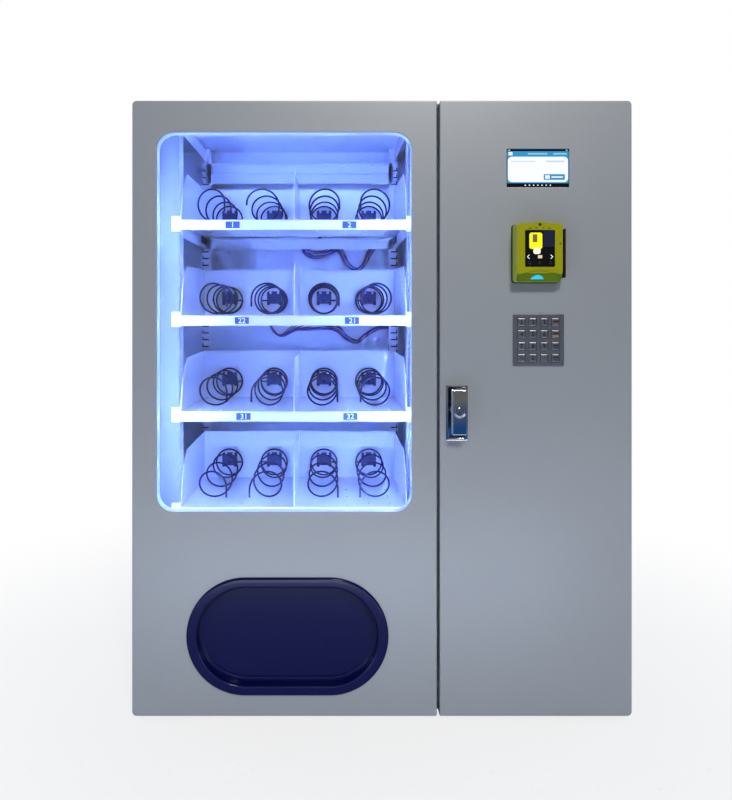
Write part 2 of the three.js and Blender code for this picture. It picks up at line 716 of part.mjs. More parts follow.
// Motor bank: a plate on the tray's rear wall with a gearbox, motor and hooked tab for each spiral
function motorBank() {
  const reach = Math.max(...SPIRAL_PLACES) + MOTOR_PLATE_MARGIN;
  const plateBack = TRAY_REAR + MOTOR_PLATE_THICKNESS;
  const low = SPIRAL_AXIS_RISE - GEARBOX_HEIGHT / 2;
  let bank = block(-reach, reach, TRAY_REAR, plateBack, low, low + MOTOR_PLATE_HEIGHT + TAB_HEIGHT);
  const boxBack = plateBack + GEARBOX_DEPTH;
  for (const x of SPIRAL_XS) {
    const tabZ = SPIRAL_AXIS_RISE + TAB_RISE;
    const tabFront = TRAY_REAR - TRAY_SHEET - TAB_PROUD;
    bank = joined(
      bank,
      block(x - GEARBOX_WIDTH / 2, x + GEARBOX_WIDTH / 2, TRAY_REAR, boxBack, low, low + GEARBOX_HEIGHT),
      rodY(MOTOR_RADIUS, x, SPIRAL_AXIS_RISE, boxBack - MOTOR_PLATE_THICKNESS, boxBack + MOTOR_LENGTH),
      frontPrism(centredRect(x, tabZ, TAB_WIDTH, TAB_HEIGHT, 0), tabFront, plateBack),
    );
    const depth = STUB_LENGTH + SEAT_GAP;
    const socket = clearHole(STUB_RADIUS, SMALL_STEPS);
    bank = bank.subtract(
      rodY(socket, x, SPIRAL_AXIS_RISE, TRAY_REAR - OVERRUN, TRAY_REAR + depth, SMALL_STEPS),
    );
  }
  return bank;
}

// Spiral: the wire's centre line starts at the open tail in front and ends in the hub at the back
const HUB_BACK = TRAY_REAR - TRAY_SHEET - SEAT_GAP;
const HUB_FRONT = HUB_BACK - HUB_THICKNESS;
const COIL_BACK = HUB_FRONT + WIRE_RADIUS;

function spiralLine() {
  const points = [new THREE.Vector3(COIL_RADIUS, COIL_FRONT, -TAIL_LENGTH)];
  const openRun = COIL_BACK - CLOSING_PITCH - COIL_FRONT;
  const steps = (OPEN_TURNS + 1) * TURN_STEPS;
  for (let step = 0; step <= steps; step += 1) {
    const turns = step / TURN_STEPS;
    const angle = 2 * Math.PI * turns;
    const open = Math.min(turns / OPEN_TURNS, 1);
    const closing = Math.max(turns - OPEN_TURNS, 0);
    const y = COIL_FRONT + openRun * open + CLOSING_PITCH * closing;
    points.push(new THREE.Vector3(COIL_RADIUS * Math.cos(angle), y, COIL_RADIUS * Math.sin(angle)));
  }
  points.push(new THREE.Vector3(COIL_RADIUS - 2 * WIRE_RADIUS, COIL_BACK, 0));
  points.push(new THREE.Vector3(HUB_WIDTH / 4, COIL_BACK, 0));
  return points;
}

function spiral() {
  const wire = wireAlong(spiralLine(), WIRE_RADIUS, WIRE_SIDES);
  const top = HUB_RISE + HUB_HEIGHT / 2;
  const notch = (x) => block(
    x - HUB_NOTCH_WIDTH / 2, x + HUB_NOTCH_WIDTH / 2,
    HUB_FRONT - OVERRUN, HUB_BACK + OVERRUN,
    top - HUB_NOTCH_DEPTH, top + OVERRUN,
  );
  const hub = cutFrom(
    frontPrism(centredRect(0, HUB_RISE, HUB_WIDTH, HUB_HEIGHT, HUB_RADIUS), HUB_FRONT, HUB_BACK),
    notch(-HUB_WIDTH / 4),
    notch(HUB_WIDTH / 4),
  );
  return joined(
    hub,
    wire,
    rodY(STUB_RADIUS, 0, 0, HUB_FRONT, TRAY_REAR + STUB_LENGTH, SMALL_STEPS),
  );
}

// The least gap of the spiral's wire to itself, measured on points of its centre line a turn or more apart
function leastWireGap(points) {
  let least = Infinity;
  const fine = new THREE.CatmullRomCurve3(points).getSpacedPoints(TURN_STEPS * TURN_STEPS * OPEN_TURNS);
  const apart = Math.round(fine.length / (2 * (OPEN_TURNS + 1)));
  for (let i = 0; i < fine.length; i += 1) {
    for (let j = i + apart; j < fine.length; j += 1) least = Math.min(least, fine[i].distanceTo(fine[j]));
  }
  return least - 2 * WIRE_RADIUS;
}

// Delivery bin: a sloped floor, a low front lip, side and rear walls, open at the front and top
function deliveryBin() {
  const front = BODY_FRONT + SHELL_SHEET;
  const left = TRAY_X - RACK_INNER;
  const right = TRAY_X + RACK_INNER;
  const outer = polygon([
    [front, BIN_FRONT_BOTTOM], [BIN_REAR, BIN_REAR_BOTTOM], [BIN_REAR, BIN_TOP], [front, BIN_TOP],
  ]);
  const inner = polygon([
    [front + BIN_SHEET, BIN_FRONT_BOTTOM + BIN_SHEET],
    [BIN_REAR - BIN_SHEET, BIN_REAR_BOTTOM + BIN_SHEET],
    [BIN_REAR - BIN_SHEET, BIN_TOP + OVERRUN],
    [front + BIN_SHEET, BIN_TOP + OVERRUN],
  ]);
  return cutFrom(
    sidePrism(outer, left, right),
    sidePrism(inner, left + BIN_SHEET, right - BIN_SHEET),
    block(
      left + BIN_SHEET, right - BIN_SHEET, front - OVERRUN, front + OVERRUN, BIN_LIP_TOP, BIN_TOP + OVERRUN,
    ),
  );
}

// Control box on the rear wall, with a recessed three-pin inlet that comes through it
function controlBox() {
  const front = BACK_INNER - BOX_DEPTH;
  const left = BOX_X - BOX_WIDTH / 2;
  const right = BOX_X + BOX_WIDTH / 2;
  const inletZ = BOX_BOTTOM + INLET_DROP;
  const boss = centredRect(BOX_X, inletZ, INLET_WIDTH + 2 * INLET_WALL, INLET_HEIGHT + 2 * INLET_WALL, 0);
  const recess = centredRect(BOX_X, inletZ, INLET_WIDTH, INLET_HEIGHT, 0);
  let box = joined(
    block(left, right, front, BACK_INNER, BOX_BOTTOM, BOX_BOTTOM + BOX_HEIGHT),
    block(
      left - BOX_FOOT, right + BOX_FOOT,
      BACK_INNER - SHELL_SHEET, BACK_INNER,
      BOX_BOTTOM + BOX_FOOT, BOX_BOTTOM + BOX_HEIGHT - BOX_FOOT,
    ),
    frontPrism(boss, BACK_INNER - SHELL_SHEET, DEPTH),
  );
  box = box.subtract(frontPrism(recess, DEPTH - INLET_RECESS, DEPTH + OVERRUN));
  for (const place of [-1, 0, 1]) {
    const rise = place === 0 ? INLET_PIN_HEIGHT / 2 : -INLET_PIN_HEIGHT / 2;
    const pinX = BOX_X + place * INLET_PIN_PITCH;
    const pin = centredRect(pinX, inletZ + rise, INLET_PIN_WIDTH, INLET_PIN_HEIGHT, 0);
    box = box.add(frontPrism(pin, DEPTH - INLET_RECESS - SHELL_SHEET, DEPTH - SHELL_SHEET));
  }
  return box;
}

// Wiring loom: a trunk clipped to the rear wall, a looped branch to each tray, and a lead to the control box
function wiringLoom() {
  const point = (x, y, z) => new THREE.Vector3(x, y, z);
  const run = (points) => wireAlong(points, LOOM_RADIUS, LOOM_SIDES);
  const trunkTop = TOP_RAIL_Z;
  const trunkLow = TOP_RAIL_Z - TRAY_COUNT * TRAY_PITCH + TRAY_PITCH / 2;
  const motorY = TRAY_REAR + MOTOR_PLATE_THICKNESS + GEARBOX_DEPTH + MOTOR_LENGTH / 2;
  const motorLow = SPIRAL_AXIS_RISE - MOTOR_RADIUS - SEAT_GAP;
  const clip = LOOM_CLIP_WIDTH / 2;
  let loom = run([point(LOOM_TRUNK_X, LOOM_Y, trunkLow), point(LOOM_TRUNK_X, LOOM_Y, trunkTop)]);
  LOOM_ROUTES.forEach((route, level) => {
    const rail = TOP_RAIL_Z - level * TRAY_PITCH;
    const motorX = TRAY_X + SPIRAL_XS[LOOM_MOTOR_COUNTS[level] - 1];
    const line = new THREE.CatmullRomCurve3([
      ...route.map(([x, z]) => point(x, LOOM_Y, rail + z)),
      point(motorX, motorY, rail + motorLow - LOOM_STRAIGHT),
    ]);
    const points = line.getSpacedPoints(route.length + LOOM_EXTRA_STEPS);
    points.push(point(motorX, motorY, rail + motorLow));
    const clipZ = rail - LOOM_CLIP_HEIGHT / 2;
    const foot = block(
      LOOM_TRUNK_X - clip, LOOM_TRUNK_X + clip, LOOM_Y, BACK_INNER, clipZ - LOOM_CLIP_HEIGHT, clipZ,
    );
    loom = joined(loom, run(points), foot);
  });
  const boxTop = BOX_BOTTOM + BOX_HEIGHT;
  const boxX = BOX_X - BOX_WIDTH / 4;
  const boxY = BACK_INNER - BOX_DEPTH / 2;
  const lead = new THREE.CatmullRomCurve3([
    point(LOOM_TRUNK_X, LOOM_Y, CABLE_HOLE_Z),
    point(PARTITION_X, CABLE_HOLE_Y, CABLE_HOLE_Z),
    point(PARTITION_X + 2 * CABLE_HOLE_RADIUS, CABLE_HOLE_Y, CABLE_HOLE_Z),
    point((PARTITION_X + boxX) / 2, (CABLE_HOLE_Y + boxY) / 2, (CABLE_HOLE_Z + boxTop) / 2),
    point(boxX, boxY, boxTop + LOOM_STRAIGHT),
  ]).getSpacedPoints(ROUND_STEPS);
  lead.push(point(boxX, boxY, boxTop + SEAT_GAP));
  return loom.add(run(lead));
}

// A door pan: a front skin with side walls and a return all round, and holes for the hinge pins
function doorPan(x0, x1, hingeSide) {
  const outline = (inset) => {
    const outer = CORNER_RADIUS - inset;
    const split = DOOR_SPLIT_RADIUS - inset;
    const [left, right] = hingeSide < 0 ? [outer, split] : [split, outer];
    return roundedRect(x0 + inset, x1 - inset, DOOR_BOTTOM + inset, DOOR_TOP - inset, left, right);
  };
  const pinX = (hingeSide * WIDTH) / 2 - hingeSide * HINGE_INSET;
  const hole = clearHole(HINGE_PIN_RADIUS);
  return cutFrom(
    frontPrism(outline(0), 0, DOOR_DEPTH),
    frontPrism(outline(DOOR_SHEET), DOOR_SHEET, DOOR_DEPTH - DOOR_SHEET),
    frontPrism(outline(DOOR_RETURN), DOOR_DEPTH - DOOR_SHEET - OVERRUN, DOOR_DEPTH + OVERRUN),
    rodZ(hole, pinX, HINGE_DEPTH, 0, DOOR_BOTTOM + DOOR_SHEET + OVERRUN),
    rodZ(hole, pinX, HINGE_DEPTH, DOOR_TOP - DOOR_SHEET - OVERRUN, HEIGHT),
  );
}

const WINDOW_Z = WINDOW_BOTTOM + WINDOW_HEIGHT / 2;

function windowOutline(margin) {
  const wide = WINDOW_WIDTH + 2 * margin;
  const high = WINDOW_HEIGHT + 2 * margin;
  return centredRect(WINDOW_X, WINDOW_Z, wide, high, WINDOW_RADIUS + margin);
}

function portOutline(margin) {
  return stadium(PORT_X, PORT_Z, PORT_WIDTH + 2 * margin, PORT_HEIGHT + 2 * margin);
}

function windowDoorPanel() {
  return cutFrom(
    doorPan(-WIDTH / 2, WINDOW_DOOR_RIGHT, -1),
    frontPrism(windowOutline(0), -OVERRUN, DOOR_SHEET + OVERRUN, WINDOW_STEPS),
    frontPrism(portOutline(PORT_WALL + SEAT_GAP), -OVERRUN, DOOR_SHEET + OVERRUN, PORT_STEPS),
  );
}

const PANE_BACK = DOOR_SHEET + PANE_THICKNESS;

function windowPane() {
  return frontPrism(windowOutline(PANE_MARGIN), DOOR_SHEET, PANE_BACK, WINDOW_STEPS);
}

// Light frame: a profile round the window that clamps the pane, with a groove behind for the light strips
function lightFrame() {
  const groove = (PANE_MARGIN + LIGHT_FRAME_STEP - LIGHT_GROOVE_WIDTH) / 2;
  const ring = (inner, outer, y0, y1) => frontPrism(windowOutline(outer), y0, y1, WINDOW_STEPS)
    .subtract(frontPrism(windowOutline(inner), y0 - OVERRUN, y1 + OVERRUN, WINDOW_STEPS));
  const body = ring(LIGHT_FRAME_STEP, PANE_MARGIN, PANE_BACK, DOOR_DEPTH);
  const grooveFront = DOOR_DEPTH - LIGHT_GROOVE_DEPTH;
  const cut = ring(groove, groove + LIGHT_GROOVE_WIDTH, grooveFront, DOOR_DEPTH + OVERRUN);
  return body.subtract(cut);
}

// Port frame: a rounded bezel, a tube through the door skin, a stop lip and two ears for the flap's pins
const FLAP_WIDTH = PORT_WIDTH - 2 * PORT_LIP + 2 * FLAP_LAP;
const FLAP_HEIGHT = PORT_HEIGHT - 2 * PORT_LIP + 2 * FLAP_LAP;
const FLAP_AXIS_Z = PORT_Z + PORT_HEIGHT / 2 + PORT_WALL + FLAP_BARREL_RISE + FLAP_BARREL_RADIUS;
const FLAP_AXIS_Y = PORT_DEPTH;
const FLAP_BARREL_HALF = (FLAP_WIDTH - FLAP_HEIGHT) / 2;

function portFrame() {
  const bezel = (inset) => stadium(
    PORT_X, PORT_Z, PORT_BEZEL_WIDTH - 2 * inset, PORT_BEZEL_HEIGHT - 2 * inset,
  );
  const round = PORT_EDGE_ROUND;
  const shoulder = round / 4;
  const outer = loft([
    [bezel(round), -PORT_BEZEL_PROUD],
    [bezel(shoulder), shoulder - PORT_BEZEL_PROUD],
    [bezel(0), round - PORT_BEZEL_PROUD],
    [bezel(0), 0],
  ], PORT_STEPS);
  const opening = loft([
    [portOutline(round), -PORT_BEZEL_PROUD - OVERRUN],
    [portOutline(round), -PORT_BEZEL_PROUD],
    [portOutline(shoulder), shoulder - PORT_BEZEL_PROUD],
    [portOutline(0), round - PORT_BEZEL_PROUD],
    [portOutline(0), PORT_DEPTH - PORT_LIP_THICKNESS],
  ], PORT_STEPS);
  const lipHole = frontPrism(portOutline(-PORT_LIP), -PORT_BEZEL_PROUD, PORT_DEPTH + OVERRUN, PORT_STEPS);
  const tube = frontPrism(portOutline(PORT_WALL), -PORT_BEZEL_PROUD / 2, PORT_DEPTH, PORT_STEPS);
  let frame = cutFrom(joined(outer, tube), opening, lipHole);
  const earLow = PORT_Z + PORT_HEIGHT / 2 + PORT_WALL / 2;
  const earTop = FLAP_AXIS_Z + FLAP_BARREL_RADIUS + FLAP_EAR_MARGIN;
  const earBack = FLAP_AXIS_Y + FLAP_BARREL_RADIUS + FLAP_EAR_MARGIN;
  for (const side of [-1, 1]) {
    const near = PORT_X + side * (FLAP_BARREL_HALF + SEAT_GAP);
    const far = near + side * FLAP_EAR_THICKNESS;
    frame = frame.add(
      block(Math.min(near, far), Math.max(near, far), DOOR_SHEET + SEAT_GAP, earBack, earLow, earTop),
    );
  }
  const reach = FLAP_BARREL_HALF + FLAP_EAR_THICKNESS + OVERRUN;
  const pinHole = rodX(clearHole(FLAP_PIN_RADIUS), FLAP_AXIS_Y, FLAP_AXIS_Z, PORT_X - reach, PORT_X + reach);
  return frame.subtract(pinHole);
}

// Flap: a flat plate under a barrel whose pins turn in the frame's ears
function deliveryFlap() {
  const front = PORT_DEPTH + SEAT_GAP;
  const back = front + FLAP_THICKNESS;
  const leaf = FLAP_BARREL_HALF - FLAP_BARREL_RADIUS;
  const pinReach = FLAP_BARREL_HALF + FLAP_PIN_LENGTH;
  return joined(
    frontPrism(stadium(PORT_X, PORT_Z, FLAP_WIDTH, FLAP_HEIGHT), front, back, PORT_STEPS),
    block(PORT_X - leaf, PORT_X + leaf, front, back, PORT_Z, FLAP_AXIS_Z),
    rodX(FLAP_BARREL_RADIUS, FLAP_AXIS_Y, FLAP_AXIS_Z, PORT_X - FLAP_BARREL_HALF, PORT_X + FLAP_BARREL_HALF),
    rodX(FLAP_PIN_RADIUS, FLAP_AXIS_Y, FLAP_AXIS_Z, PORT_X - pinReach, PORT_X + pinReach),
  );
}

function controlDoorPanel() {
  const skinHole = (shape) => frontPrism(shape, -OVERRUN, DOOR_SHEET + OVERRUN);
  const gap = 2 * SEAT_GAP;
  const dishWidth = LOCK_WIDTH - 2 * LOCK_RIM + 2 * LOCK_WALL;
  const dishHeight = LOCK_HEIGHT - 2 * LOCK_RIM + 2 * LOCK_WALL;
  const bodyWidth = KEYPAD_WIDTH - 2 * KEYPAD_RIM;
  const bodyHeight = KEYPAD_HEIGHT - 2 * KEYPAD_RIM;
  return cutFrom(
    doorPan(CONTROL_DOOR_LEFT, WIDTH / 2, 1),
    skinHole(centredRect(DISPLAY_X, DISPLAY_Z, DISPLAY_WIDTH + gap, DISPLAY_HEIGHT + gap, 0)),
    skinHole(centredRect(KEYPAD_X, KEYPAD_Z, bodyWidth + gap, bodyHeight + gap, 0)),
    skinHole(centredRect(LOCK_X, LOCK_Z - LOCK_DISH_DROP, dishWidth + gap, dishHeight + gap, LOCK_RADIUS)),
  );
}

function displayModule() {
  const wide = DISPLAY_WIDTH + 2 * DISPLAY_FLANGE;
  const high = DISPLAY_HEIGHT + 2 * DISPLAY_FLANGE;
  const flangeBack = DOOR_SHEET + DISPLAY_FLANGE_THICKNESS;
  const screen = centredRect(DISPLAY_X, DISPLAY_Z, DISPLAY_WIDTH, DISPLAY_HEIGHT, 0);
  return joined(
    frontPrism(screen, DISPLAY_STEP, flangeBack),
    frontPrism(centredRect(DISPLAY_X, DISPLAY_Z, wide, high, DISPLAY_FLANGE / 2), DOOR_SHEET, flangeBack),
    frontPrism(screen, DOOR_SHEET, flangeBack + DISPLAY_CASE_DEPTH),
  );
}

// Terminal housing: a rounded box with a sloped chin, a lens bump, a screen recess and a card swipe rail
function terminalHousing() {
  const low = TERMINAL_Z - TERMINAL_HEIGHT / 2;
  const high = TERMINAL_Z + TERMINAL_HEIGHT / 2;
  const bumpZ = high + BUMP_RISE - BUMP_RADIUS;
  const side = polygon([
    [0, low],
    [0, high + BUMP_RISE],
    [TERMINAL_BROW - TERMINAL_DEPTH, high + BUMP_RISE],
    [-TERMINAL_DEPTH, high + BUMP_RISE - TERMINAL_BROW],
    [-TERMINAL_DEPTH, low + TERMINAL_CHIN_HEIGHT],
    [TERMINAL_CHIN_DEPTH - TERMINAL_DEPTH, low],
  ]);
  const front = frontPrism(
    centredRect(TERMINAL_X, TERMINAL_Z, TERMINAL_WIDTH, TERMINAL_HEIGHT, TERMINAL_RADIUS), -TERMINAL_DEPTH, 0,
  );
  const bump = rodY(BUMP_RADIUS, TERMINAL_X, bumpZ, -TERMINAL_DEPTH, 0);
  const width = TERMINAL_WIDTH / 2;
  const body = joined(front, bump).intersect(sidePrism(side, TERMINAL_X - width, TERMINAL_X + width));
  const railRight = TERMINAL_X + width + SWIPE_WIDTH;
  const railMiddle = railRight - SWIPE_WIDTH / 2;
  const railShape = roundedRect(
    railRight - 2 * SWIPE_WIDTH, railRight,
    TERMINAL_Z - SWIPE_HEIGHT / 2, TERMINAL_Z + SWIPE_HEIGHT / 2,
    0, TERMINAL_RADIUS,
  );
  const rail = frontPrism(railShape, -SWIPE_DEPTH, 0);
  const slot = block(
    railMiddle - SWIPE_SLOT / 2, railMiddle + SWIPE_SLOT / 2,
    -SWIPE_DEPTH - OVERRUN, SWIPE_SLOT_DEPTH - SWIPE_DEPTH,
    TERMINAL_Z - SWIPE_HEIGHT, TERMINAL_Z + SWIPE_HEIGHT,
  );
  const gap = 2 * SEAT_GAP;
  const recess = centredRect(
    TERMINAL_X, TERMINAL_Z + SCREEN_RISE, SCREEN_WIDTH + gap, SCREEN_HEIGHT + gap, SCREEN_RADIUS + SEAT_GAP,
  );
  return cutFrom(
    joined(body, rail),
    slot,
    frontPrism(recess, -TERMINAL_DEPTH - OVERRUN, SCREEN_THICKNESS - TERMINAL_DEPTH),
    rodY(
      LENS_HOLE_RADIUS, TERMINAL_X, bumpZ, -TERMINAL_DEPTH - OVERRUN, LENS_HOLE_DEPTH - TERMINAL_DEPTH,
      SMALL_STEPS,
    ),
  );
}

function terminalScreen() {
  const outline = centredRect(
    TERMINAL_X, TERMINAL_Z + SCREEN_RISE, SCREEN_WIDTH, SCREEN_HEIGHT, SCREEN_RADIUS,
  );
  return frontPrism(outline, SEAT_GAP - TERMINAL_DEPTH, SCREEN_THICKNESS - TERMINAL_DEPTH);
}

// Keypad plate: a front plate on a body with a pocket for each key
const KEY_POCKET_BACK = KEY_DEPTH + KEY_TRAVEL + SEAT_GAP - KEYPAD_PLATE - KEY_PROUD;
const KEY_SPOTS = [];
for (let row = 0; row < KEY_COUNT; row += 1) {
  for (let column = 0; column < KEY_COUNT; column += 1) {
    const fromMiddle = (KEY_COUNT - 1) / 2;
    KEY_SPOTS.push([
      KEYPAD_X + (column - fromMiddle) * KEY_PITCH_X,
      KEYPAD_Z + (fromMiddle - row) * KEY_PITCH_Z,
    ]);
  }
}

function keypadPlate() {
  const wide = KEYPAD_WIDTH - 2 * KEYPAD_RIM;
  const high = KEYPAD_HEIGHT - 2 * KEYPAD_RIM;
  let plate = joined(
    frontPrism(centredRect(KEYPAD_X, KEYPAD_Z, KEYPAD_WIDTH, KEYPAD_HEIGHT, KEYPAD_RADIUS), -KEYPAD_PLATE, 0),
    frontPrism(centredRect(KEYPAD_X, KEYPAD_Z, wide, high, 0), -KEYPAD_PLATE / 2, KEYPAD_BODY_DEPTH),
  );
  for (const [x, z] of KEY_SPOTS) {
    const pocket = centredRect(x, z, KEY_WIDTH + 2 * SEAT_GAP, KEY_HEIGHT + 2 * SEAT_GAP, 0);
    plate = plate.subtract(frontPrism(pocket, -KEYPAD_PLATE - OVERRUN, KEY_POCKET_BACK));
  }
  return plate;
}

// Key, about its own middle, with a chamfered cap
function key() {
  const face = -KEYPAD_PLATE - KEY_PROUD;
  const flat = (inset) => centredRect(0, 0, KEY_WIDTH - 2 * inset, KEY_HEIGHT - 2 * inset, 0);
  return loft([[flat(KEY_CHAMFER), face], [flat(0), face + KEY_CHAMFER], [flat(0), face + KEY_DEPTH]], 1);
}

// Lock dish: a rim on the door skin and a pan behind it, with a hole for the spindle
function lockBase() {
  const z = LOCK_Z - LOCK_DISH_DROP;
  const inner = [LOCK_WIDTH - 2 * LOCK_RIM, LOCK_HEIGHT - 2 * LOCK_RIM];
  const panBack = LOCK_DISH_DEPTH + LOCK_WALL;
  const rimRound = LOCK_PROUD / 2;
  const pan = (margin) => centredRect(LOCK_X, z, inner[0] + 2 * margin, inner[1] + 2 * margin, LOCK_RADIUS);
  const rim = (inset) => centredRect(
    LOCK_X, z, LOCK_WIDTH - 2 * inset, LOCK_HEIGHT - 2 * inset, LOCK_RADIUS - inset,
  );
  return cutFrom(
    joined(
      loft([[rim(rimRound), -LOCK_PROUD], [rim(0), rimRound - LOCK_PROUD], [rim(0), 0]], CORNER_STEPS),
      frontPrism(pan(LOCK_WALL), -rimRound, panBack),
    ),
    frontPrism(pan(0), -LOCK_PROUD - OVERRUN, LOCK_DISH_DEPTH),
    rodY(clearHole(SPINDLE_RADIUS), LOCK_X, LOCK_Z, LOCK_DISH_DEPTH - OVERRUN, panBack + OVERRUN),
  );
}

// Spindle: a bored shaft through the dish, a collar behind it, and the cam hanging unlatched
const CAM_FRONT = BODY_FRONT + 2 * SHELL_SHEET + CAM_GAP;

function lockSpindle() {
  const camBack = CAM_FRONT + CAM_THICKNESS;
  const collarFront = LOCK_DISH_DEPTH + LOCK_WALL + SEAT_GAP;
  const cam = roundedRect(
    LOCK_X - CAM_HALF_WIDTH, LOCK_X + CAM_HALF_WIDTH,
    LOCK_Z - CAM_LENGTH, LOCK_Z + CAM_HALF_WIDTH,
    CAM_HALF_WIDTH / 2,
  );
  return cutFrom(
    joined(
      rodY(SPINDLE_RADIUS, LOCK_X, LOCK_Z, LOCK_DISH_DEPTH, camBack),
      rodY(SPINDLE_COLLAR_RADIUS, LOCK_X, LOCK_Z, collarFront, collarFront + SPINDLE_COLLAR),
      frontPrism(cam, CAM_FRONT, camBack),
    ),
    rodY(clearHole(STEM_RADIUS), LOCK_X, LOCK_Z, LOCK_DISH_DEPTH - OVERRUN, camBack + OVERRUN),
  );
}

// T-handle in its popped-out place: it pushes in until its face is level with the dish's rim
const HANDLE_FACE = -LOCK_PROUD - HANDLE_TRAVEL;

function lockHandle() {
  const grip = (inset) => centredRect(
    LOCK_X, LOCK_Z, HANDLE_WIDTH - 2 * inset, HANDLE_HEIGHT - 2 * inset, HANDLE_RADIUS - inset,
  );
  const back = HANDLE_FACE + HANDLE_THICKNESS;
  return cutFrom(
    joined(
      loft([
        [grip(HANDLE_EDGE), HANDLE_FACE],
        [grip(0), HANDLE_FACE + HANDLE_EDGE],
        [grip(0), back - HANDLE_EDGE],
        [grip(HANDLE_EDGE), back],
      ], CORNER_STEPS),
      rodY(STEM_RADIUS, LOCK_X, LOCK_Z, back - HANDLE_EDGE, STEM_END),
    ),
    rodY(clearHole(CYLINDER_RADIUS), LOCK_X, LOCK_Z, HANDLE_FACE - OVERRUN, HANDLE_FACE + CYLINDER_DEPTH),
  );
}

function keyCylinder() {
  const face = HANDLE_FACE - CYLINDER_PROUD;
  const keyway = centredRect(LOCK_X, LOCK_Z, KEYWAY_WIDTH, KEYWAY_HEIGHT, 0);
  return rodY(CYLINDER_RADIUS, LOCK_X, LOCK_Z, face, HANDLE_FACE + CYLINDER_DEPTH - SEAT_GAP)
    .subtract(frontPrism(keyway, face - OVERRUN, face + KEYWAY_DEPTH));
}

// The cabinet and what is fixed in it
addPiece(machine, 'cabinet_shell', cabinetShell(), 'paint');
addPiece(machine, 'bay_partition', bayPartition(), 'inner');
addPiece(machine, 'rack_frame', rackFrame(), 'inner');
addPiece(machine, 'delivery_bin', deliveryBin(), 'dark');
addPiece(machine, 'control_box', controlBox(), 'steel');
addPiece(machine, 'wiring_loom', wiringLoom(), 'loom');

// Four shelves, each with its tray, motors and two mirrored pairs of spirals
const trayBody = tray();
const bankBody = motorBank();
const rightHanded = spiral();
const leftHanded = rightHanded.mirror([1, 0, 0]);
for (let level = 0; level < TRAY_COUNT; level += 1) {
  const shelf = new THREE.Group();
  shelf.position.set(TRAY_X, 0, TOP_RAIL_Z - level * TRAY_PITCH);
  machine.add(shelf);
  addPiece(shelf, `tray_${level + 1}`, trayBody, 'tray');
  addPiece(shelf, `motor_bank_${level + 1}`, bankBody, 'motor');
  SPIRAL_XS.forEach((x, column) => {
    const body = column % 2 === 0 ? rightHanded : leftHanded;
    const mesh = addPiece(shelf, `spiral_${level + 1}_${column + 1}`, body, 'wire');
    mesh.position.set(x, 0, SPIRAL_AXIS_RISE);
  });
}
console.log('least gap of a spiral wire to itself, mm:', leastWireGap(spiralLine()).toFixed(2));

// The product door
addPiece(machine, 'window_door_panel', windowDoorPanel(), 'paint');
addPiece(machine, 'window_pane', windowPane(), 'glass');
addPiece(machine, 'window_light_frame', lightFrame(), 'light');
addPiece(machine, 'port_frame', portFrame(), 'dark');
addPiece(machine, 'delivery_flap', deliveryFlap(), 'dark');

// The control door
addPiece(machine, 'control_door_panel', controlDoorPanel(), 'paint');
addPiece(machine, 'display_module', displayModule(), 'screen');
addPiece(machine, 'terminal_housing', terminalHousing(), 'terminal');
addPiece(machine, 'terminal_screen', terminalScreen(), 'black');
addPiece(machine, 'keypad_plate', keypadPlate(), 'steel');
const keyBody = key();
KEY_SPOTS.forEach(([x, z], spot) => {
  const mesh = addPiece(machine, `key_${spot + 1}`, keyBody, 'steel');
  mesh.position.set(x, 0, z);
});
addPiece(machine, 'lock_dish', lockBase(), 'steel');
addPiece(machine, 'lock_spindle', lockSpindle(), 'steel');
addPiece(machine, 'lock_handle', lockHandle(), 'chrome');
addPiece(machine, 'key_cylinder', keyCylinder(), 'chrome');

export default machine;
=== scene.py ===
"""Snack vending machine: the looks of its pieces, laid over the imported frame."""

import math
from types import SimpleNamespace

import bmesh
import bpy
from bpy.props import FloatProperty, FloatVectorProperty, IntProperty, PointerProperty
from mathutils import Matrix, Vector
from mathutils.geometry import delaunay_2d_cdt


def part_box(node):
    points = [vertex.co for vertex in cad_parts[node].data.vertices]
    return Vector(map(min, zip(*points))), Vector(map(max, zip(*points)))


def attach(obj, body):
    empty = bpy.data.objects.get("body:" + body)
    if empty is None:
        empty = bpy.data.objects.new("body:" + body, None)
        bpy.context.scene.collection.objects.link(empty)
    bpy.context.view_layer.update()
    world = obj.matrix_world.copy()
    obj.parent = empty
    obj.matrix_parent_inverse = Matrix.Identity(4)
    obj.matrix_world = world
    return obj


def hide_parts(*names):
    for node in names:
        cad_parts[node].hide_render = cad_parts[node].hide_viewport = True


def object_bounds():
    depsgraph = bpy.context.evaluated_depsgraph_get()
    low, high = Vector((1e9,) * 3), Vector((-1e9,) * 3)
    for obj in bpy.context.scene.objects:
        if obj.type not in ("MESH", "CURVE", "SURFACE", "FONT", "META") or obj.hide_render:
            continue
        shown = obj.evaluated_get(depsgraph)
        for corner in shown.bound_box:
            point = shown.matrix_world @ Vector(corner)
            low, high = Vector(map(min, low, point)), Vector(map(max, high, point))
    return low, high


bl_info = {
    "name": "Snack Vending Machine",
    "version": (1, 0, 0),
    "blender": (4, 5, 0),
    "location": "3D View > Sidebar > Vending",
    "description": "Dresses the frame of a snack vending machine with its sheet metal, glass, wires and controls",
    "category": "Object",
}

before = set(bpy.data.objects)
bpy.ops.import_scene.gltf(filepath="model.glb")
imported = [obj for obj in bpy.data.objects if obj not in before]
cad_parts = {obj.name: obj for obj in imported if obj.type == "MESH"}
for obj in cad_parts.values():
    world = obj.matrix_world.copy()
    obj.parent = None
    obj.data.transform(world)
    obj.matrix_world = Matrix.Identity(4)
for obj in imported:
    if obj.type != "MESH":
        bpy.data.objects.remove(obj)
CAD_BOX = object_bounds()

MM = 0.001
# The doors' front face in the frame, from which every depth is counted
FRONT_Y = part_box("control_door_panel")[0][1]
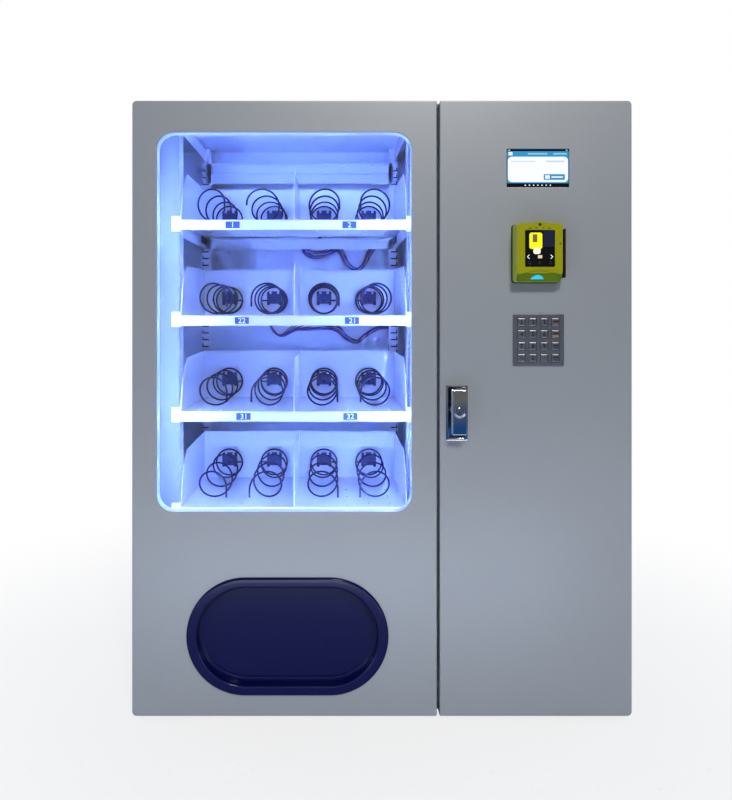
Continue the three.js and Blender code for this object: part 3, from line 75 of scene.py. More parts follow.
# The cabinet's side and top, and the gap under and over the doors
SIDE, TOP = CAD_BOX[1][0] / MM, CAD_BOX[1][2] / MM
DOOR_GAP = 3.3
# The spirals' places as shares of a tray's width, and their axis above its rail
SHARES = (-0.3635, -0.13, 0.13, 0.3635)
AXIS_RISE = 34
# The rack's rear face, and how far its members lie under the rails
RACK_REAR = 438
MEMBER_DROP = 31
LOOM_X, LOOM_DEPTH = 56, 462
# The LEDs' blue as linear numbers, and the gap from one to the next
LED_TINT = (0.185, 0.275, 1.0)
LED_PITCH = 16.7


# Places and colours

def at(x, depth, z):
    """A point of the frame from millimetres: x, depth behind the doors' face, z."""
    return Vector((x * MM, FRONT_Y + depth * MM, z * MM))


def linear(code, alpha=None):
    """sRGB hex to linear numbers."""
    values = []
    for place in (0, 2, 4):
        part = int(code[place:place + 2], 16) / 255
        values.append(part / 12.92 if part <= 0.04045 else ((part + 0.055) / 1.055) ** 2.4)
    return tuple(values) if alpha is None else (*values, alpha)


def length(name, description, value):
    """A length in millimetres as a property in metres."""
    return FloatProperty(name=name, description=description, default=value * MM, unit="LENGTH", precision=4)


def colour(name, description, code):
    return FloatVectorProperty(name=name, description=description, default=linear(code), size=3, subtype="COLOR",
                               min=0.0, max=1.0)


# Sizes and colours that a user would change

class DoorSizes(bpy.types.PropertyGroup):
    depth: length("Door depth", "From the front face to the return", 30.0)
    sheet: length("Sheet", "Thickness of the doors' steel", 2.0)
    edge_return: length("Return", "Width of the return behind each edge", 14.0)
    bend: length("Bend radius", "Outer radius of the folded edges", 1.8)
    corner: length("Corner radius", "Outer corners of the doors", 8.0)
    window_x: length("Window middle", "Middle of the window across the machine", -178.0)
    window_width: length("Window width", "Opening in the door skin", 464.0)
    window_low: length("Window bottom", "Bottom of the opening", 374.6)
    window_top: length("Window top", "Top of the opening", 1066.0)
    window_radius: length("Window radius", "Corners of the opening", 31.0)
    paint: colour("Door paint", "Powder coat outside", "8F959E")


class PortSizes(bpy.types.PropertyGroup):
    x: length("Port middle", "Middle of the port across the machine", -172.0)
    z: length("Port height", "Middle of the port above the floor", 149.0)
    bezel_width: length("Bezel width", "Outer width of the moulded frame", 368.0)
    bezel_height: length("Bezel height", "Outer height of the moulded frame", 214.0)
    width: length("Opening width", "Inner width of the throat", 329.0)
    height: length("Opening height", "Inner height of the throat", 178.0)
    proud: length("Bezel proud", "How far the bezel stands off the door", 5.0)
    depth: length("Throat depth", "From the door's face to the flap", 18.0)
    lip: length("Stop lip", "Width of the lip in front of the flap", 7.0)
    plastic: colour("Port plastic", "Moulded frame and flap", "070C42")


class ShelfSizes(bpy.types.PropertyGroup):
    x: length("Tray middle", "Middle of the trays across the machine", -165.5)
    width: length("Tray width", "Outside of the side walls", 443.0)
    top_rail: length("Top rail", "Top edge of the highest tray's rail", 919.0)
    pitch: length("Tray pitch", "From one tray to the next", 187.0)
    rail_front: length("Rail depth", "Front of the rail behind the doors' face", 104.5)
    rail_height: length("Rail height", "Height of the front rail", 19.5)
    rear: length("Tray rear", "Back of the rear wall", 406.0)
    paint: colour("Inner paint", "Powder coat inside", "EEF2FA")


class SpiralSizes(bpy.types.PropertyGroup):
    radius: length("Coil radius", "Middle of the wire to the axis", 30.0)
    wire: length("Wire radius", "Radius of the wire", 1.9)
    front: length("Coil front", "Depth of the first turn", 111.0)
    back: length("Coil back", "Depth of the closing turn", 397.2)
    tail: length("Tail", "Straight end of the wire", 16.0)
    closing: length("Closing pitch", "Pitch of the last turn", 6.0)
    turns: IntProperty(name="Open turns", description="Turns before the closing one", default=3, min=1)
    steel: colour("Wire finish", "Dark plated steel", "15183C")


class ControlSizes(bpy.types.PropertyGroup):
    display_x: length("Display middle", "Middle of the display across", 284.0)
    display_z: length("Display height", "Middle of the display above the floor", 1001.0)
    terminal_x: length("Terminal middle", "Middle of the housing across", 277.5)
    terminal_z: length("Terminal height", "Middle of the housing above the floor", 844.0)
    keypad_x: length("Keypad middle", "Middle of the keypad across", 284.4)
    keypad_z: length("Keypad height", "Middle of the keypad above the floor", 688.0)
    lock_x: length("Lock axis", "Axis of the lock across", 136.0)
    lock_z: length("Lock height", "Axis of the lock above the floor", 560.0)
    case: colour("Terminal case", "Moulded housing", "8E9000")


class StageSizes(bpy.types.PropertyGroup):
    camera_x: length("Camera across", "Place of the camera", -96.5)
    camera_distance: length("Camera distance", "From the doors' face", 1450.0)
    camera_z: length("Camera height", "Place of the camera", 739.0)
    lens: FloatProperty(name="Lens", description="Focal length for a 36 mm side", default=35.85, unit="CAMERA")
    light: FloatProperty(name="Shelf light", description="Strength of the light strips", default=1480.0, min=0.0)


GROUPS = {
    "vending_doors": DoorSizes,
    "vending_port": PortSizes,
    "vending_shelves": ShelfSizes,
    "vending_spirals": SpiralSizes,
    "vending_controls": ControlSizes,
    "vending_stage": StageSizes,
}


def read(group):
    """A group's values, with its lengths in millimetres."""
    held = getattr(bpy.context.scene, f"vending_{group}")
    values = {}
    for key in type(held).__annotations__:
        value = getattr(held, key)
        values[key] = value / MM if held.bl_rna.properties[key].unit == "LENGTH" else value
    return SimpleNamespace(**values)


# Outlines: (x, z) in millimetres, most as functions of their inset

def arc(x, z, radius, start, end, steps):
    """Points from one angle to another, with both ends."""
    angles = [math.radians(start + (end - start) * step / steps) for step in range(steps + 1)]
    return [(x + radius * math.cos(angle), z + radius * math.sin(angle)) for angle in angles]


def circle(x, z, radius, steps):
    return arc(x, z, radius, 0, 360, steps)[:-1]


def between(x0, x1, z0, z1, radius, steps=6, least=0.001):
    """A rounded box between two corners. radius is one for all, or one for each from the upper right on."""
    radii = radius if isinstance(radius, tuple) else (radius,) * 4

    def outline(inset):
        points = []
        for quadrant, r in enumerate(radii):
            r = max(r - inset, least)
            x = x1 - inset - r if quadrant in (0, 3) else x0 + inset + r
            z = z1 - inset - r if quadrant < 2 else z0 + inset + r
            points += arc(x, z, r, 90 * quadrant, 90 * quadrant + 90, steps)
        return points

    return outline


def around(x, z, width, height, radius, steps=6):
    return between(x - width / 2, x + width / 2, z - height / 2, z + height / 2, radius, steps)


def stadium(x, z, width, height):
    return around(x, z, width, height, height / 2, 20)


def window_opening(s):
    return between(s.window_x - s.window_width / 2, s.window_x + s.window_width / 2, s.window_low, s.window_top,
                   s.window_radius, 12)


def levels(outline, *pairs):
    """Sections of a loft from pairs of (inset, depth)."""
    return [(outline(inset), depth) for inset, depth in pairs]


def quarter(steps):
    """Angles of a quarter turn."""
    return [math.pi / 2 * step / steps for step in range(steps + 1)]


# Mesh building

def place_ring(bm, outline, depth):
    return [bm.verts.new(at(x, depth, z)) for x, z in outline]


def join_rings(bm, a, b, material=0):
    for i in range(len(a)):
        j = (i + 1) % len(a)
        bm.faces.new((a[i], a[j], b[j], b[i])).material_index = material


def loft(bm, sections, material=0, caps=True, closed=False):
    """Joins outlines at their depths into one skin."""
    rings = [place_ring(bm, outline, depth) for outline, depth in sections]
    for a, b in zip(rings, rings[1:]):
        join_rings(bm, a, b, material)
    if closed:
        join_rings(bm, rings[-1], rings[0], material)
    elif caps:
        for ring in (rings[0], rings[-1]):
            bm.faces.new(ring).material_index = material


def slab(bm, outline, front, back, edge=0.4, steps=2, material=0):
    """A plate from front to back whose edges are rounded."""
    pairs = [(edge * (1 - math.sin(a)), front + edge * (1 - math.cos(a))) for a in quarter(steps)]
    pairs += [(edge * (1 - math.cos(a)), back - edge * (1 - math.sin(a))) for a in quarter(steps)]
    loft(bm, levels(outline, *pairs), material)


def block(bm, x0, x1, d0, d1, z0, z1, edge=0.3, radius=None, material=0):
    """A bar or plate with softened edges."""
    outline = between(min(x0, x1), max(x0, x1), z0, z1, edge if radius is None else radius, 2)
    slab(bm, outline, d0, d1, min(edge, (d1 - d0) * 0.45), 1, material)


def is_within(spot, outline):
    """Whether a point lies inside an outline, by the crossings of a line from it."""
    crossings = 0
    for (x0, z0), (x1, z1) in zip(outline, [*outline[1:], outline[0]]):
        if (z0 > spot[1]) != (z1 > spot[1]) and spot[0] < x0 + (spot[1] - z0) * (x1 - x0) / (z1 - z0):
            crossings += 1
    return crossings % 2 == 1


def sheet_between(bm, outer, holes, depth):
    """A flat face at one depth, from the outer outline to the holes."""
    points, edges = [], []
    for outline in (outer, *holes):
        start = len(points)
        points += [Vector(point) for point in outline]
        edges += [(start + i, start + (i + 1) % len(outline)) for i in range(len(outline))]
    # Option 1 gives the triangles inside the outer outline, those in the holes too
    spots, _, faces, _, _, _ = delaunay_2d_cdt(points, edges, [], 1, 1e-4)
    ring = place_ring(bm, spots, depth)
    for face in faces:
        middle = sum((spots[i] for i in face), Vector((0, 0))) / len(face)
        if not any(is_within(middle, hole) for hole in holes):
            bm.faces.new([ring[i] for i in face])


def grid_plate(bm, us, vs, holes, point, thickness):
    """A sheet on a grid with cells left open. point(u, v, w) is a place, and w goes through the sheet."""
    us = sorted(set(us) | {u for hole in holes for u in hole[:2]})
    vs = sorted(set(vs) | {v for hole in holes for v in hole[2:]})
    corners = {}

    def is_open(i, j):
        if not (0 <= i < len(us) - 1 and 0 <= j < len(vs) - 1):
            return True
        u, v = (us[i] + us[i + 1]) / 2, (vs[j] + vs[j + 1]) / 2
        return any(a < u < b and c < v < d for a, b, c, d in holes)

    def corner(i, j, w):
        if (i, j, w) not in corners:
            corners[i, j, w] = bm.verts.new(point(us[i], vs[j], w))
        return corners[i, j, w]

    for i in range(len(us) - 1):
        for j in range(len(vs) - 1):
            if is_open(i, j):
                continue
            for w in (0, thickness):
                bm.faces.new([corner(*c, w) for c in ((i, j), (i + 1, j), (i + 1, j + 1), (i, j + 1))])
            for di, dj, a, b in ((-1, 0, (i, j), (i, j + 1)), (1, 0, (i + 1, j), (i + 1, j + 1)),
                                 (0, -1, (i, j), (i + 1, j)), (0, 1, (i, j + 1), (i + 1, j + 1))):
                if is_open(i + di, j + dj):
                    bm.faces.new((corner(*a, 0), corner(*b, 0), corner(*b, thickness), corner(*a, thickness)))


def side_plate(bm, profile, x0, x1):
    """A plate whose outline is in depth and height."""
    rings = [[bm.verts.new(at(x, d, z)) for d, z in profile] for x in (x0, x1)]
    join_rings(bm, *rings)
    for ring in rings:
        bm.faces.new(ring)


def tube(bm, path, radius, sides=10, material=0):
    """A round wire of a radius in millimetres along a path of points, with rounded ends."""
    unit = circle(0, 0, 1, sides)
    rings = []
    normal = None
    for i, spot in enumerate(path):
        along = (path[min(i + 1, len(path) - 1)] - path[max(i - 1, 0)]).normalized()
        if normal is None:
            normal = along.orthogonal().normalized()
        normal = (normal - along * normal.dot(along)).normalized()
        across = along.cross(normal)
        rings.append([bm.verts.new(spot + (normal * c + across * s) * (radius * MM)) for c, s in unit])
    for a, b in zip(rings, rings[1:]):
        join_rings(bm, a, b, material)
    for ring, spot, near in ((rings[0], path[0], path[1]), (rings[-1], path[-1], path[-2])):
        tip = bm.verts.new(spot + (spot - near).normalized() * (radius * MM * 0.6))
        for i in range(sides):
            bm.faces.new((ring[i], ring[(i + 1) % sides], tip)).material_index = material


def spline(points, per_span):
    """A smooth path through points."""
    path = []
    last = len(points) - 1
    for i in range(last):
        p0, p1, p2, p3 = points[max(i - 1, 0)], points[i], points[i + 1], points[min(i + 2, last)]
        for step in range(per_span):
            t = step / per_span
            path.append(0.5 * (2 * p1 + (p2 - p0) * t + (2 * p0 - 5 * p1 + 4 * p2 - p3) * t * t
                               + (3 * p1 - p0 - 3 * p2 + p3) * t * t * t))
    path.append(points[last])
    return path


def add_object(name, data):
    added = bpy.data.objects.new(name, data)
    bpy.context.scene.collection.objects.link(added)
    return added


def finished(name, bm, looks, body, nodes=(), slot=None, smooth=40, bevel=0.0):
    """Turns a mesh under construction into a piece that rides on a body."""
    bmesh.ops.remove_doubles(bm, verts=bm.verts, dist=2e-6)
    bmesh.ops.dissolve_degenerate(bm, edges=bm.edges, dist=1e-6)
    bmesh.ops.recalc_face_normals(bm, faces=bm.faces)
    mesh = bpy.data.meshes.new(name)
    bm.to_mesh(mesh)
    bm.free()
    for look_name in (looks,) if isinstance(looks, str) else looks:
        mesh.materials.append(look(look_name))
    mesh.shade_smooth()
    mesh.set_sharp_from_angle(angle=math.radians(smooth))
    piece = add_object(name, mesh)
    if bevel:
        rounding = piece.modifiers.new("Rounding", "BEVEL")
        rounding.width = bevel * MM
        rounding.segments = 4
        rounding.limit_method = "ANGLE"
        rounding.angle_limit = math.radians(35)
    weighting = piece.modifiers.new("Flat faces first", "WEIGHTED_NORMAL")
    weighting.keep_sharp = True
    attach(piece, body)
    if nodes:
        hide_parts(*nodes)


def figure(name, text, height, x, depth, z, look_name, body, weight, thickness=0.12, wide=1.0):
    """A plain figure standing on a face that looks forward."""
    curve = bpy.data.curves.new(name, "FONT")
    curve.body = text
    curve.size = height * 1.38 * MM
    curve.align_x = "CENTER"
    curve.align_y = "CENTER"
    curve.extrude = thickness / 2 * MM
    curve.offset = weight * MM
    curve.resolution_u = 4
    shown = add_object(name, curve)
    bpy.context.view_layer.update()
    mesh = bpy.data.meshes.new_from_object(shown.evaluated_get(bpy.context.evaluated_depsgraph_get()))
    bpy.data.objects.remove(shown)
    bpy.data.curves.remove(curve)
    spans = [[v.co[axis] for v in mesh.vertices] for axis in (0, 1)]
    middle = [(min(span) + max(span)) / 2 for span in spans]
    centre = at(x, depth, z)
    for vertex in mesh.vertices:
        px, py, pz = vertex.co
        vertex.co = centre + Vector(((px - middle[0]) * wide, -pz, py - middle[1]))
    mesh.name = name
    mesh.materials.clear()
    mesh.materials.append(look(look_name))
    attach(add_object(name, mesh), body)


def give(node, look_name):
    """A CAD node keeps its shape and gets a finish."""
    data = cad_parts[node].data
    if data.materials:
        for i in range(len(data.materials)):
            data.materials[i] = look(look_name)
    else:
        data.materials.append(look(look_name))


# Materials

def add_node(tree, kind, inputs=None, **settings):
    """Adds a node. An input is a plain value, or a socket to link from."""
    node = tree.nodes.new(kind)
    for name, value in settings.items():
        setattr(node, name, value)
    for name, value in (inputs or {}).items():
        if isinstance(value, bpy.types.NodeSocket):
            tree.links.new(value, node.inputs[name])
        else:
            node.inputs[name].default_value = value
    return node


def calc(tree, operation, a, b=0.0):
    return add_node(tree, "ShaderNodeMath", {0: a, 1: b}, operation=operation).outputs[0]


def mix(tree, share, a, b):
    return add_node(tree, "ShaderNodeMix", {0: share, 6: a, 7: b}, data_type="RGBA").outputs[2]


def white_where(tree, outer, tests):
    """The trays' white where every test holds, and the outer colour elsewhere."""
    share = 1.0
    for operation, value, limit in tests:
        share = calc(tree, "MULTIPLY", share, calc(tree, operation, value, limit))
    return mix(tree, share, outer, linear("EEF2FA", 1))


def shell_inside(tree, place, outer):
    """White inside, door paint outside, split by the walls' middle planes."""
    x, y, z = add_node(tree, "ShaderNodeSeparateXYZ", {0: place}).outputs
    half_sheet = 1 * MM
    side, back, top = (limit - half_sheet for limit in CAD_BOX[1])
    return white_where(tree, outer, (
        ("LESS_THAN", calc(tree, "ABSOLUTE", x), side), ("LESS_THAN", z, top), ("LESS_THAN", y, back),
        ("GREATER_THAN", z, half_sheet), ("GREATER_THAN", y, FRONT_Y + 34.5 * MM)))


def tabs_white(tree, place, outer):
    """White in front of the trays' rear walls, the case's colour behind."""
    depth = add_node(tree, "ShaderNodeSeparateXYZ", {0: place}).outputs[1]
    return white_where(tree, outer, [("LESS_THAN", depth, FRONT_Y + 406.1 * MM)])


def seen_straight(tree):
    """1 where the camera looks straight or through glass, and 0 for the light that falls on the object."""
    seen = add_node(tree, "ShaderNodeLightPath").outputs
    either = calc(tree, "MAXIMUM", seen["Is Camera Ray"], seen["Is Transmission Ray"])
    return calc(tree, "MULTIPLY", either, calc(tree, "LESS_THAN", seen["Diffuse Depth"], 0.5))


def finish(name, base, roughness, metallic, tone, grain, spread=0.06, stretch=(1.0, 1.0, 1.0), coat=0.0, glow=None,
           clear=0.0, ior=1.5, inside=None):
    """A finish: tone is (period in mm, share) of the colour's drift, grain is (period in mm, height in mm) of the
    surface, spread is how far the roughness drifts, stretch pulls the grain along an axis."""
    material = bpy.data.materials.new(name)
    material.use_nodes = True
    tree = material.node_tree
    shader = tree.nodes["Principled BSDF"]
    base = linear(base) if isinstance(base, str) else tuple(base)
    place = add_node(tree, "ShaderNodeTexCoord").outputs["Object"]
    drift = add_node(tree, "ShaderNodeTexNoise", {"Vector": place, "Scale": 1 / (tone[0] * MM), "Detail": 3.0})
    darker, lighter = (tuple(min(c * (1 + way * tone[1]), 1.0) for c in base) for way in (-1, 1))
    toned = mix(tree, drift.outputs[0], (*darker, 1), (*lighter, 1))
    if inside:
        toned = inside(tree, place, toned)
    pulled = add_node(tree, "ShaderNodeMapping", {"Vector": place, "Scale": stretch}).outputs[0]
    fine = add_node(tree, "ShaderNodeTexNoise", {"Vector": pulled, "Scale": 1 / (grain[0] * MM), "Detail": 2.0})
    rough = add_node(tree, "ShaderNodeMapRange", {
        "Value": fine.outputs[0], "From Min": 0.25, "From Max": 0.75,
        "To Min": max(roughness - spread, 0.02), "To Max": min(roughness + spread, 1.0)})
    bump = add_node(tree, "ShaderNodeBump", {"Height": fine.outputs[0], "Strength": 1.0, "Distance": grain[1] * MM})
    for source, target in ((toned, "Base Color"), (rough.outputs[0], "Roughness"), (bump.outputs[0], "Normal")):
        tree.links.new(source, shader.inputs[target])
    values = {"Metallic": metallic, "Coat Weight": coat, "Coat Roughness": 0.08, "Transmission Weight": clear,
              "IOR": ior}
    if glow:
        tint = linear(glow[0]) if isinstance(glow[0], str) else glow[0]
        values.update({"Emission Color": (*tint, 1), "Emission Strength": glow[1]})
    for key, value in values.items():
        shader.inputs[key].default_value = value
    return material


# Each finish: base colour (or the group that holds it), roughness, metallic, tone, grain and its other settings
FINISHES = {
    # Powder-coated steel, sprayed and baked: fine orange peel, soft satin sheen
    "powder_coated_steel": (("doors", "paint"), 0.42, 0.25, (160, 0.03), (1.6, 0.012), {}),
    # The same powder coat on the cabinet, white on the inner faces
    "powder_coated_shell": (("doors", "paint"), 0.42, 0.0, (160, 0.03), (1.6, 0.012), {"inside": shell_inside}),
    # White powder coat inside: glossier, so that the light strips show in it
    "white_powder_coat": (("shelves", "paint"), 0.34, 0.0, (120, 0.03), (2.2, 0.004), {"spread": 0.05, "coat": 0.8}),
    # Steel, powder coated dark: hardly seen behind the flap
    "powder_coated_bin": ("1A2038", 0.5, 0.1, (80, 0.08), (1.5, 0.012), {}),
    # Steel strip in grey, darker than the white paint around it: painted shade, so that it isn't lost in the strips'
    # light beside it
    "phosphated_steel": ("7A7E86", 0.5, 0.0, (18, 0.1), (1.6, 0.006), {}),
    # Galvanised steel: dull zinc with a soft spangle about 12 mm across
    "galvanised_steel": ("8D9094", 0.45, 0.75, (12, 0.18), (1.4, 0.01), {}),
    # Spring steel wire, drawn and black plated: dark with narrow highlights along the wire
    "plated_spring_steel": (("spirals", "steel"), 0.3, 0.5, (12, 0.12), (0.6, 0.01), {}),
    # Stainless steel, brushed across: long scratches 0.5 mm apart, drawn coarser than real ones so that they show
    "brushed_stainless_steel": ("70747E", 0.36, 0.85, (30, 0.1), (0.5, 0.012),
                                {"spread": 0.1, "stretch": (0.04, 1.0, 1.0)}),
    # Zinc casting, polished and chrome plated: a mirror with faint waviness
    "chrome_plated_zinc": ("B4B8C0", 0.05, 1.0, (20, 0.05), (6.0, 0.006), {"spread": 0.015}),
    # The handle's left side: satin zinc in pale blue, a painted reflection of the window's blue light
    "tumbled_zinc": ("A4B6E0", 0.42, 0.35, (8, 0.08), (0.6, 0.01), {}),
    # Zinc-plated steel, machined: cooler and duller than the handle
    "zinc_plated_steel": ("A8ABB0", 0.34, 0.9, (10, 0.08), (0.8, 0.006), {}),
    # PVC, extruded in white: brighter than the paint behind it, with a soft sheen
    "extruded_pvc_white": ("F4F7FF", 0.3, 0.0, (120, 0.02), (2.0, 0.003), {"spread": 0.05, "coat": 0.3}),
    # Polycarbonate profile, extruded milky white: its glow is painted light, standing in for the strips' light that it
    # carries to its inner face
    "extruded_polycarbonate": ("E3ECF8", 0.4, 0.0, (60, 0.03), (2.0, 0.004), {"glow": ((0.40, 0.53, 1.0), 0.45)}),
    # ABS, moulded and polished: deep colour under a clear sheen
    "moulded_abs_navy": (("port", "plastic"), 0.22, 0.0, (70, 0.08), (0.9, 0.003),
                         {"spread": 0.05, "coat": 0.2, "ior": 1.2}),
    # ABS, moulded with a fine spark-eroded grain
    "moulded_abs_lime": (("controls", "case"), 0.5, 0.0, (25, 0.06), (0.7, 0.015), {"ior": 1.25}),
    # The same ABS on the case's sides, painted paler: a painted highlight for the light that falls on them
    "moulded_abs_lime_edge": ("C2D04C", 0.42, 0.0, (20, 0.06), (0.7, 0.015), {"ior": 1.35}),
    # The same ABS on the chin's face, with a coarser grain and painted darker: painted shade, as the chin faces down
    "moulded_abs_lime_chin": ("667E10", 0.6, 0.0, (25, 0.06), (0.9, 0.02), {"ior": 1.25}),
    # Polycarbonate, moulded black with a satin face
    "moulded_polycarbonate": ("0B0C10", 0.35, 0.0, (20, 0.2), (0.7, 0.006), {}),
    # Nylon, moulded: matt and slightly grainy
    "moulded_nylon": ("171C3A", 0.5, 0.0, (14, 0.15), (0.8, 0.02), {"ior": 1.4}),
    # The same nylon, lighter, on the hubs' bodies, bosses and shafts
    "moulded_nylon_worn": ("333C66", 0.45, 0.0, (14, 0.15), (0.8, 0.02), {"ior": 1.4}),
    # The same nylon for the gearmotors' cases, behind tabs in the tray's paint
    "moulded_nylon_cases": ("171C3A", 0.5, 0.0, (14, 0.15), (0.8, 0.02), {"inside": tabs_white, "ior": 1.4}),
    # Acrylic, smoked: the lamps behind it are off
    "smoked_acrylic": ("4A5416", 0.2, 0.0, (10, 0.08), (1.0, 0.002), {}),
    # Toughened cover glass over black print: smooth, with a sharp reflection
    "cover_glass_black": ("07080B", 0.08, 0.0, (30, 0.1), (5.0, 0.001), {"spread": 0.02}),
    # Toughened float glass: clear, slightly green-blue, with a sharp faint reflection
    "toughened_float_glass": ("E4F1F8", 0.02, 0.0, (200, 0.01), (300.0, 0.001),
                              {"spread": 0.005, "clear": 1.0, "ior": 1.22}),
    # Vinyl print, matt blue, and its white figures, whose faint glow is painted light for the strips' light on them
    "printed_vinyl": ("3B54B8", 0.4, 0.0, (20, 0.04), (0.8, 0.002), {}),
    "white_ink": ("F4F7FF", 0.4, 0.0, (20, 0.02), (0.8, 0.001), {"glow": ((0.8, 0.9, 1.0), 0.25)}),
    # Glass cloth tape round the loom: dull, with a coarse weave
    "glass_cloth_tape": ("1B2140", 0.7, 0.0, (8, 0.2), (0.6, 0.04), {}),
}
# Stranded copper in PVC, extruded: soft sheen in the colours of a wiring loom
WIRES = {"red": "963048", "blue": "3248BE", "black": "1A2046", "grey": "6A76B4", "violet": "5038A0"}
FINISHES.update({
    f"pvc_insulation_{name}": (code, 0.4, 0.0, (15, 0.08), (1.0, 0.004), {}) for name, code in WIRES.items()})
# Enamel, filled into the keys' engraving
ENAMELS = {"black": "14161C", "red": "7E4248", "amber": "A8823A", "blue": "2A3440", "green": "30403A"}
FINISHES.update({
    f"enamel_{name}": (code, 0.45, 0.0, (10, 0.1), (0.6, 0.004), {}) for name, code in ENAMELS.items()})
# Liquid crystal behind glass: the colour is light, and barely changes with the room
LIT = {
    "screen_blue": ("2899D4", 0.95), "screen_white": ("FBFDFF", 1.0), "screen_button": ("3F97D2", 0.9),
    "screen_pale": ("E8F5FC", 1.0), "screen_soft": ("9CD3EE", 0.9), "screen_faint": ("CBE6F5", 0.95),
    "screen_navy": ("20264A", 0.55), "screen_yellow": ("F2EE12", 1.15), "screen_cream": ("FFF3DE", 1.1),
    "screen_ochre": ("8C7A50", 0.7), "screen_beige": ("EAD9B0", 1.0), "screen_grey": ("3A3D44", 0.6),
    "light_cyan": ("16C8F2", 1.1),
}
FINISHES.update({
    name: ("08090A", 0.2, 0.0, (20, 0.05), (3.0, 0.001), {"spread": 0.02, "glow": glow}) for name, glow in LIT.items()})
# White circuit tape and its chips, the side ones stronger: the last number is the share of the strips' strength
STRIPS = {
    "light_tape": ("F2F4F8", 0.5, (10, 0.05), (1.0, 0.002), 0.02),
    "light_chip_side": ("FFFFFF", 0.3, (5, 0.02), (1.0, 0.001), 1.0),
    "light_chip_across": ("FFFFFF", 0.3, (5, 0.02), (1.0, 0.001), 0.55),
}


def look(name):
    """The finish of that name, made when a piece first needs it."""
    if name in bpy.data.materials:
        return bpy.data.materials[name]
    if name in STRIPS:
        base, roughness, tone, grain, share = STRIPS[name]
        return finish(name, base, roughness, 0.0, tone, grain, glow=(LED_TINT, read("stage").light * share))
    base, roughness, metallic, tone, grain, extras = FINISHES[name]
    if isinstance(base, tuple):
        base = getattr(read(base[0]), base[1])
    return finish(name, base, roughness, metallic, tone, grain, **extras)


# Operators

class VENDING_OT_doors(bpy.types.Operator):
    """Folds the two door pans, with the window and port openings"""
    bl_idname = "vending.doors"
    bl_label = "Doors"

    def execute(self, context):
        s, p, c = read("doors"), read("port"), read("controls")
        split, corner = 2.0, s.corner
        for side, x0, x1, radii, holes in (
            ("window", -SIDE, 100.0, (split, corner, corner, split),
             (window_opening(s), stadium(p.x, p.z, p.width + 6.6, p.height + 6.6))),
            ("control", 105.0, SIDE, (corner, split, split, corner),
             (around(c.display_x, c.display_z, 113.6, 69.6, 0.4, 2),
              around(c.keypad_x, c.keypad_z, 86.6, 88.6, 0.4, 2),
              around(c.lock_x, c.lock_z - 4.5, 34.6, 95.6, 2.5, 4))),
        ):
            bm = bmesh.new()
            self.pan(bm, between(x0, x1, DOOR_GAP, TOP - DOOR_GAP, radii, least=0.05), holes, s)
            finished(f"{side}_door_skin", bm, "powder_coated_steel", f"{side}_door", [f"{side}_door_panel"],
                     "door_paint")
        return {"FINISHED"}

    def pan(self, bm, outline, holes, s):
        # A narrow flat strip beside each bend and cut keeps the face's shading level
        hold, cut = 1.2, 0.5
        bend, fold, depth, sheet = s.bend, s.edge_return, s.depth, s.sheet
        rounding = [(bend * (1 - math.sin(a)), bend * (1 - math.cos(a))) for a in quarter(4)]
        loft(bm, levels(outline, (bend + hold, 0), *rounding, (0, depth - 0.6), (0.6, depth), (fold, depth),
                        (fold, depth - sheet), (sheet, depth - sheet), (sheet, sheet), (sheet + hold, sheet)),
             caps=False)
        sheet_between(bm, outline(bend + hold), [hole(-cut - hold) for hole in holes], 0)
        sheet_between(bm, outline(sheet + hold), [hole(-hold) for hole in holes], sheet)
        for hole in holes:
            loft(bm, levels(hole, (-cut - hold, 0), (-cut, 0), (-cut * 0.3, cut * 0.3), (0, cut), (0, sheet),
                            (-hold, sheet)), caps=False)


class VENDING_OT_window(bpy.types.Operator):
    """Puts in the pane, the light frame round it and the light strips behind"""
    bl_idname = "vending.window"
    bl_label = "Window"

    def execute(self, context):
        s = read("doors")
        opening = window_opening(s)
        ring = lambda grown: opening(-grown)
        bm = bmesh.new()
        loft(bm, levels(ring, (0.5, 6.5), (0.5, 28), (1.1, 28.6), (3.2, 28.6), (3.2, 26), (11.3, 26), (11.3, 30),
                        (13.4, 30), (14, 29.4), (14, 6), (1.0, 6)), caps=False, closed=True)
        finished("window_light_profile", bm, "extruded_polycarbonate", "window_door", ["window_light_frame"],
                 "light_diffuser")

        # Light strip in the profile's groove: tape with a chip at each LED's place
        bm = bmesh.new()
        loft(bm, levels(ring, (3.8, 26.05), (10.7, 26.05), (10.7, 26.4), (3.8, 26.4)), caps=False, closed=True)
        x, z = s.window_x, (s.window_low + s.window_top) / 2
        width, height = s.window_width, s.window_top - s.window_low
        for run, side_run in ((width, False), (height, True)):
            count = int((run - 2 * s.window_radius) // LED_PITCH)
            for i in range(count + 1):
                along = (i - count / 2) * LED_PITCH
                if side_run:
                    for way in (1, -1):
                        self.chip(bm, x - way * (width / 2 + 7.2), z + along, way, 0, 1)
                else:
                    for way, lean in ((1, 1), (-1, 0.5)):
                        self.chip(bm, x + along, z - way * (height / 2 + 7.2), 0, lean, 2)
        finished("light_strip", bm, ("light_tape", "light_chip_side", "light_chip_across"), "window_door",
                 slot="light_diffuser")
        give("window_pane", "toughened_float_glass")
        return {"FINISHED"}

    def chip(self, bm, x, z, to_x, to_z, material):
        """A chip 5 mm long whose narrow face leans towards the window's middle."""
        low, high = [], []
        for side, end in ((-1, -1), (1, -1), (1, 1), (-1, 1)):
            px = side * 0.6 if to_x else end * 2.5
            pz = side * 0.6 if to_z else end * 2.5
            low.append(bm.verts.new(at(x + px, 26.3, z + pz)))
            high.append(bm.verts.new(at(x + px, 28.2 - 1.7 * side * (to_x + to_z), z + pz)))
        join_rings(bm, low, high)
        bm.faces.new(low)
        bm.faces.new(high).material_index = material


